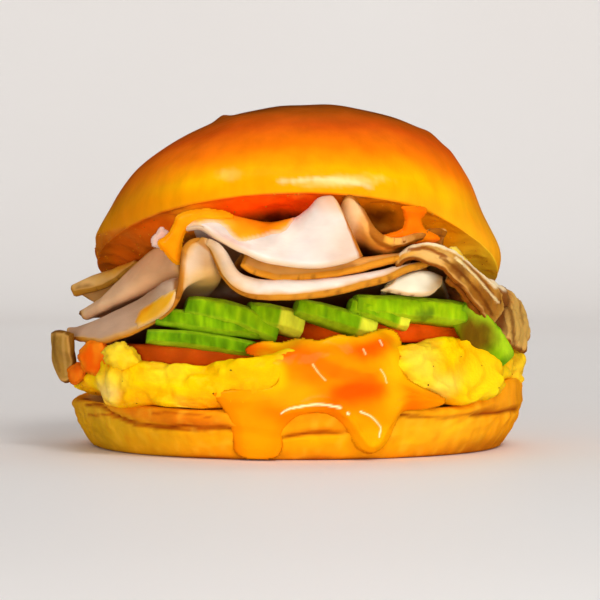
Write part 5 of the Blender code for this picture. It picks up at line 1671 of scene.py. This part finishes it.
AVOCADO_SLICES = (
    # Slices 1 and 2, low at the left, get painted shade; slices 4 to 6 at the right get painted light.
    AvocadoSlice(1, (-22.2, -46.5, 27.8), (25.5, 11.0, 4.2), (4.0, -7.0, -6.0), (0.45, 0.25), (False, False),
                 sag=0.6, ripe=-0.2),
    AvocadoSlice(2, (-20.4, -45.6, 32.0), (25.0, 11.0, 5.0), (3.0, -8.0, -8.0), (0.45, 0.35), (False, False),
                 ripe=-0.15),
    AvocadoSlice(3, (-14.6, -45.8, 33.9), (22.5, 12.0, 6.2), (6.0, -17.0, -8.0), (0.45, 0.45), (False, False),
                 sag=1.4),
    AvocadoSlice(4, (9.6, -45.6, 33.2), (19.5, 11.0, 5.2), (9.0, -17.0, -8.0), (0.40, 0.0), flesh_from=0.62, ripe=0.1),
    AvocadoSlice(5, (19.6, -44.4, 33.9), (14.6, 8.0, 4.0), (10.0, -17.0, -6.0), (0.30, 0.0), flesh_from=0.70,
                 ripe=0.15),
    AvocadoSlice(6, (27.4, -43.0, 35.1), (27.0, 11.0, 6.0), (14.0, -5.0, -8.0), (0.45, 0.0), (False, False),
                 ripe=0.25, marks=(Patch(29.5, 33.4, 2.2, 1.4, "4f6a10", 0.75, 10.0, 0.5, 0.6),)),
    AvocadoSlice(7, (46.6, -34.0, 31.0), (19.0, 9.0, 2.6), (36.0, -43.0, -62.0), (0.40, 0.4), (False, False),
                 # Painted shade on the left part of its face.
                 marks=(Patch(41.6, 28.0, 4.8, 4.6, "6a4404", 0.95, -45.0, 0.45),)),
    AvocadoSlice(8, (-24.0, 44.5, 22.4), (30.0, 12.0, 4.6), (190.0, 2.0, -4.0), (0.45, 0.4)),
    AvocadoSlice(9, (8.0, 47.0, 22.0), (30.0, 12.0, 4.8), (178.0, 4.0, -6.0), (0.40, 0.4)),
    AvocadoSlice(10, (30.0, 38.0, 22.6), (26.0, 12.0, 4.6), (146.0, 3.0, -4.0), (0.45, 0.35)),
    AvocadoSlice(11, (-4.4, -44.2, 33.0), (13.5, 11.0, 6.0), (10.0, -14.0, -8.0), (0.30, 0.0), flesh_from=0.1),
)

TOMATO_SLICES = (
    # Painted shade on the left slice's rim, painted light on the right slice's rim.
    TomatoSlice("left_tomato_slice", "tomato_slice_1", (-17.0, -9.0), 20.9, 34.0, 5.9, edge="c84c06"),
    TomatoSlice("right_tomato_slice", "tomato_slice_2", (19.0, -3.5), 27.2, 32.5, 4.8, edge="ff5c06"),
)

FILMS = (
    TurkeyFilm("sauce_on_left_fold", 1, (
        (-38.6, 31.4), (-37.0, 34.2), (-33.4, 36.8), (-27.4, 40.0), (-26.6, 38.6), (-28.6, 35.4), (-31.4, 32.4),
        (-35.0, 30.6),
    ), "ffb01a"),
    TurkeyFilm("sauce_on_middle_fold", 5, (
        (-26.0, 54.2), (-19.0, 55.0), (-15.3, 52.2), (-13.4, 50.8), (-10.6, 51.0), (-4.2, 52.6), (-1.8, 54.2),
        (-1.0, 58.0), (-10.0, 60.0), (-26.0, 60.0),
    )),
)

# Runs and drops of sauce, then scraps of turkey and egg.
DABS = (
    Dab("sauce_run_left", (
        (-28.4, 54.6), (-27.4, 56.6), (-23.0, 57.8), (-17.6, 57.4), (-15.2, 56.0), (-19.4, 55.0), (-24.6, 54.0),
        (-26.7, 51.8), (-27.2, 48.6), (-27.0, 45.8), (-28.4, 45.8), (-30.2, 47.7), (-32.1, 50.2), (-30.7, 51.4),
        (-29.1, 53.2),
    ), -45.5, ("ff8a04", "fe9a0c"), lean=(0.25, 0.1), thickness=1.0, edge=1.6),
    Dab("sauce_run_right", (
        (24.4, 58.4), (29.6, 58.0), (28.6, 55.6), (29.6, 53.0), (33.0, 50.9), (26.0, 50.2), (19.1, 51.2),
        (24.2, 53.0), (25.2, 55.6),
    ), -40.5, ("ff6a04", "ff7e08"), lean=(0.3, -0.2), thickness=1.0, edge=1.8),
    Dab("sauce_blob_left", (
        (-51.6, 24.2), (-49.2, 26.2), (-46.2, 26.2), (-43.6, 24.4), (-40.6, 22.0), (-38.0, 20.4), (-41.0, 19.2),
        (-46.4, 18.8), (-49.8, 19.2), (-51.8, 21.6),
    ), -31.5, ("ff6206", "ff8414"), lean=(-0.95, 0.0), thickness=2.6, edge=3.8, ragged=0.5),
    Dab("sauce_drop_left", (
        (-55.0, 19.2), (-52.6, 21.0), (-50.6, 20.2), (-51.6, 17.4), (-53.8, 16.2),
    ), -21.0, ("f2640c", "fb7c14"), lean=(-1.0, 0.0), thickness=1.8, edge=2.2, ragged=0.3),
    Dab("torn_turkey", (
        (-33.9, 50.8), (-32.0, 53.2), (-29.6, 52.4), (-27.8, 53.4), (-28.2, 51.2), (-30.8, 49.6), (-33.0, 49.4),
    ), -41.0, ("f4d0bc", "eab09a"), Slot.TURKEY, thickness=0.9, edge=0.9, ragged=0.5),
    Dab("torn_egg", (
        (35.8, 49.0), (37.0, 48.6), (39.8, 45.2), (38.6, 45.2), (36.8, 47.2),
    ), -37.6, ("f8b818", "fbd250"), Slot.EGG, lean=(0.6, 0.0), thickness=0.7, edge=0.9, ragged=0.2),
    Dab("egg_nub", (
        (-45.7, 24.4), (-44.0, 26.0), (-41.2, 26.5), (-38.6, 25.0), (-36.8, 22.2), (-39.4, 20.6), (-43.4, 21.0),
    ), -38.2, ("fbc004", "fdd42c"), Slot.EGG, lean=(-0.4, 0.2), thickness=3.2, edge=2.8, ragged=0.7),
)


@dataclass
class Grains:
    """Small grains scattered over a piece by Geometry Nodes, where its "cover" attribute is high."""

    name: str
    slot: Slot
    radius_mm: float
    per_square_mm: float
    seed: int
    tones: tuple[str, str]
    smallest: float = 0.4
    flatten: float = 0.6
    # Points of one grain, an icosphere of the first level.
    corners: int = 12

    def tree(self) -> tuple[bpy.types.NodeTree, dict[str, str]]:
        """Build the scatter.

        Returns:
            The node tree and the identifier of each named input.
        """
        tree = bpy.data.node_groups.new(self.name, "GeometryNodeTree")
        kinds = {"Geometry": "Geometry", "Density": "Float", "Radius": "Float", "Seed": "Int", "Material": "Material"}
        names = {label: tree.interface.new_socket(label, in_out="INPUT", socket_type=f"NodeSocket{kind}").identifier
                 for label, kind in kinds.items()}
        tree.interface.new_socket("Geometry", in_out="OUTPUT", socket_type="NodeSocketGeometry")
        given = add_node(tree, "NodeGroupInput").outputs
        cover = add_node(tree, "GeometryNodeInputNamedAttribute", {"Name": "cover"}).outputs["Attribute"]
        density = add_node(tree, "ShaderNodeMath", {"operation": "MULTIPLY"}, {0: cover, 1: given["Density"]})
        spots = add_node(tree, "GeometryNodeDistributePointsOnFaces", None,
                         {"Mesh": given["Geometry"], "Density": density.outputs[0], "Seed": given["Seed"]})
        ball = add_node(tree, "GeometryNodeMeshIcoSphere", {"Subdivisions": 1}, {"Radius": given["Radius"]})
        turn = add_node(tree, "FunctionNodeRandomValue", {"data_type": "FLOAT_VECTOR", 1: (6.28, 6.28, 6.28)},
                        {"Seed": given["Seed"]})
        least, most = ((share, share, share * self.flatten) for share in (self.smallest, 1.0))
        size = add_node(tree, "FunctionNodeRandomValue", {"data_type": "FLOAT_VECTOR", 0: least, 1: most},
                        {"Seed": given["Seed"]})
        grains = add_node(tree, "GeometryNodeInstanceOnPoints", None,
                          {"Points": spots.outputs["Points"], "Instance": ball.outputs["Mesh"],
                           "Rotation": turn.outputs[0], "Scale": size.outputs[0]})
        real = add_node(tree, "GeometryNodeRealizeInstances", None, {"Geometry": grains.outputs[0]})
        done = add_node(tree, "GeometryNodeSetMaterial", None,
                        {"Geometry": real.outputs[0], "Material": given["Material"]})
        add_node(tree, "NodeGroupOutput", None, {"Geometry": done.outputs[0]})
        return tree, names

    def build(self, ground: bpy.types.Object, finish: bpy.types.Material) -> bpy.types.Object:
        """Scatter the grains.

        Args:
            ground: the piece that carries them, with the attribute "cover".
            finish: their material.

        Returns:
            The grains as one mesh.
        """
        tree, names = self.tree()
        host = place_object(f"{self.name}_host", ground.data)
        scatter = host.modifiers.new("scatter", "NODES")
        scatter.node_group = tree
        given = {"Density": self.per_square_mm / MM ** 2, "Radius": self.radius_mm * MM, "Seed": self.seed,
                 "Material": finish}
        for label, value in given.items():
            scatter[names[label]] = value
        shown = host.evaluated_get(bpy.context.evaluated_depsgraph_get())
        mesh = bpy.data.meshes.new_from_object(shown)
        host.modifiers.remove(scatter)
        bpy.data.objects.remove(host)
        grains = len(mesh.vertices) // self.corners
        pick = np.random.default_rng(self.seed).random(grains).repeat(self.corners)
        for layer in list(mesh.attributes):
            if layer.name in ("tint", "cover"):
                mesh.attributes.remove(layer)
        set_tint(mesh, ramp(pick, ((0.0, self.tones[0]), (1.0, self.tones[1]))))
        piece = place_object(self.name, mesh)
        dress(piece)
        return piece


CRUMBS = Grains("loose_crumbs", Slot.CRUST, 0.34, 0.14, 4, ("b8660c", "e89a22"))
PEPPER = Grains("pepper_specks", Slot.EGG, 0.32, 0.006, 7, ("2a1404", "5a2c08"))


@dataclass(frozen=True)
class Lamp:
    """A soft box; its angles are degrees to the right of the front and above the floor, its sizes metres."""

    name: str
    azimuth: float
    elevation: float
    distance: float
    size: tuple[float, float]
    watts: float
    aim: tuple[float, float, float] = (0.0, 0.0, 0.04)
    mirrored: bool = False
    lights: bool = True

    def hang(self) -> None:
        """Hang it so that it faces its aim; only some are mirrored by wet surfaces, and some are only mirrored."""
        data = bpy.data.lights.new(self.name, "AREA")
        data.shape = "RECTANGLE"
        data.size, data.size_y = self.size
        data.energy = self.watts
        item = place_object(self.name, data)
        a, e = math.radians(self.azimuth), math.radians(self.elevation)
        away = self.distance * Vector((math.sin(a) * math.cos(e), -math.cos(a) * math.cos(e), math.sin(e)))
        item.location = Vector(self.aim) + away
        item.rotation_euler = (-away).to_track_quat("-Z", "Y").to_euler()
        item.visible_glossy, item.visible_diffuse = self.mirrored, self.lights


@dataclass
class Studio:
    """Pale floor and backdrop, soft lights and the camera; lengths are metres."""

    distance: float = 0.9
    elevation: float = 2.0
    target: tuple[float, float, float] = (0.0005, 0.0, 0.0354)
    pixels_per_radian: float = 3682.0
    picture: int = 600
    sensor: float = 36.0
    floor_tones: Stops = ((0.3, "efe9e4"), (0.7, "f2eeea"))
    floor_reach: float = 3.0
    floor_front: float = -2.5
    floor_back: float = 0.75
    wall_height: float = 2.2
    wall_bend: float = 0.5
    air: str = "f4f4f6"
    air_strength: float = 0.42
    lamps: tuple[Lamp, ...] = (
        Lamp("key_softbox", 28.0, 42.0, 1.3, (0.4, 0.4), 6.4),
        Lamp("front_fill", -6.0, 1.5, 0.8, (1.0, 0.12), 3.3),
        Lamp("low_right_fill", 34.0, 3.0, 0.8, (0.5, 0.10), 0.9),
        Lamp("top_fill", 160.0, 60.0, 1.8, (1.4, 1.4), 4.0),
        Lamp("sheen_box", -20.0, 55.0, 1.4, (1.2, 0.6), 5.0, mirrored=True, lights=False),
        Lamp("backdrop_wash", 0.0, 50.0, 1.1, (1.6, 0.6), 3.6, (0.0, 1.25, 0.2)),
    )

    def camera(self) -> None:
        """Set the camera in front of the sandwich, a little above its middle."""
        data = bpy.data.cameras.new("camera")
        data.sensor_width = self.sensor
        data.lens = self.sensor * self.pixels_per_radian / self.picture
        data.clip_start, data.clip_end = 0.05, 20.0
        item = place_object("camera", data)
        tilt = math.radians(self.elevation)
        aim = Vector(self.target) + Vector(SHIFT) * MM
        item.location = aim + Vector((0.0, -math.cos(tilt), math.sin(tilt))) * self.distance
        item.rotation_euler = (QUARTER_TURN - tilt, 0.0, 0.0)
        bpy.context.scene.camera = item

    def backdrop(self) -> None:
        """Sweep a pale floor up into a backdrop."""
        back, bend = self.floor_back, self.wall_bend
        line = [(self.floor_front, 0.0)]
        line += [(back + bend * math.sin(a), bend * (1.0 - math.cos(a))) for a in np.linspace(0.0, QUARTER_TURN, 24)]
        line += [(back + bend, self.wall_height)]
        points = [(side * self.floor_reach, y, z) for y, z in line for side in (-1.0, 1.0)]
        mesh = bpy.data.meshes.new("studio_floor")
        mesh.from_pydata(points, [], [(2 * i, 2 * i + 1, 2 * i + 3, 2 * i + 2) for i in range(len(line) - 1)])
        mesh.shade_smooth()
        # Matt pale paper: a soft shadow and a warm glow under the sandwich, and nothing mirrored.
        material, tree, shader = new_material("matt pale paper")
        place = add_node(tree, "ShaderNodeTexCoord").outputs["Object"]
        grain = add_node(tree, "ShaderNodeTexNoise", {"Scale": 3.0, "Detail": 2.0}, {"Vector": place}).outputs["Fac"]
        shade = add_node(tree, "ShaderNodeValToRGB", {"stops": self.floor_tones}, {"Fac": grain})
        tree.links.new(shade.outputs["Color"], shader.inputs["Base Color"])
        shader.inputs["Roughness"].default_value = 0.55
        shader.inputs["Specular IOR Level"].default_value = 0.2
        mesh.materials.append(material)
        item = place_object("studio_floor", mesh)
        item.visible_glossy = False

    def build(self) -> None:
        """Set up the camera, the floor, the lights and the air."""
        self.camera()
        self.backdrop()
        for lamp in self.lamps:
            lamp.hang()
        world = bpy.data.worlds.new("studio_air")
        world.use_nodes = True
        background = world.node_tree.nodes["Background"]
        background.inputs["Color"].default_value = rgba(self.air)
        background.inputs["Strength"].default_value = self.air_strength
        world.cycles_visibility.glossy = False
        bpy.context.scene.world = world
        bpy.context.scene.view_settings.view_transform = "Standard"


def main() -> None:
    """Build the sandwich from the bottom bun up, then its studio."""
    logging.basicConfig(level=logging.INFO, format="%(message)s")
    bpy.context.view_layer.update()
    finishes = {slot: finish.build() for slot, finish in FINISHES.items()}
    heel = BottomBun().build(finishes[Slot.CRUST])
    crown = TopBun().build(finishes[Slot.CRUST])
    CRUMBS.build(crown, finishes[CRUMBS.slot])
    egg = Egg().build(finishes[Slot.EGG])
    PEPPER.build(egg, finishes[PEPPER.slot])
    tomatoes = [tomato.build(finishes[Slot.TOMATO]) for tomato in TOMATO_SLICES]
    for avocado in AVOCADO_SLICES:
        avocado.build(finishes[Slot.AVOCADO])
    for fold in (*TURKEY_FOLDS, CRISPED_FLAP):
        fold.build(finishes[Slot.TURKEY])
    SauceDrape().build([heel, egg, *tomatoes], finishes[Slot.SAUCE])
    for film in FILMS:
        film.build(TURKEY_FOLDS[film.fold - 1], finishes[Slot.SAUCE])
    for dab in DABS:
        dab.build(finishes[dab.slot])
    Studio().build()


if __name__ == "__main__":
    main()
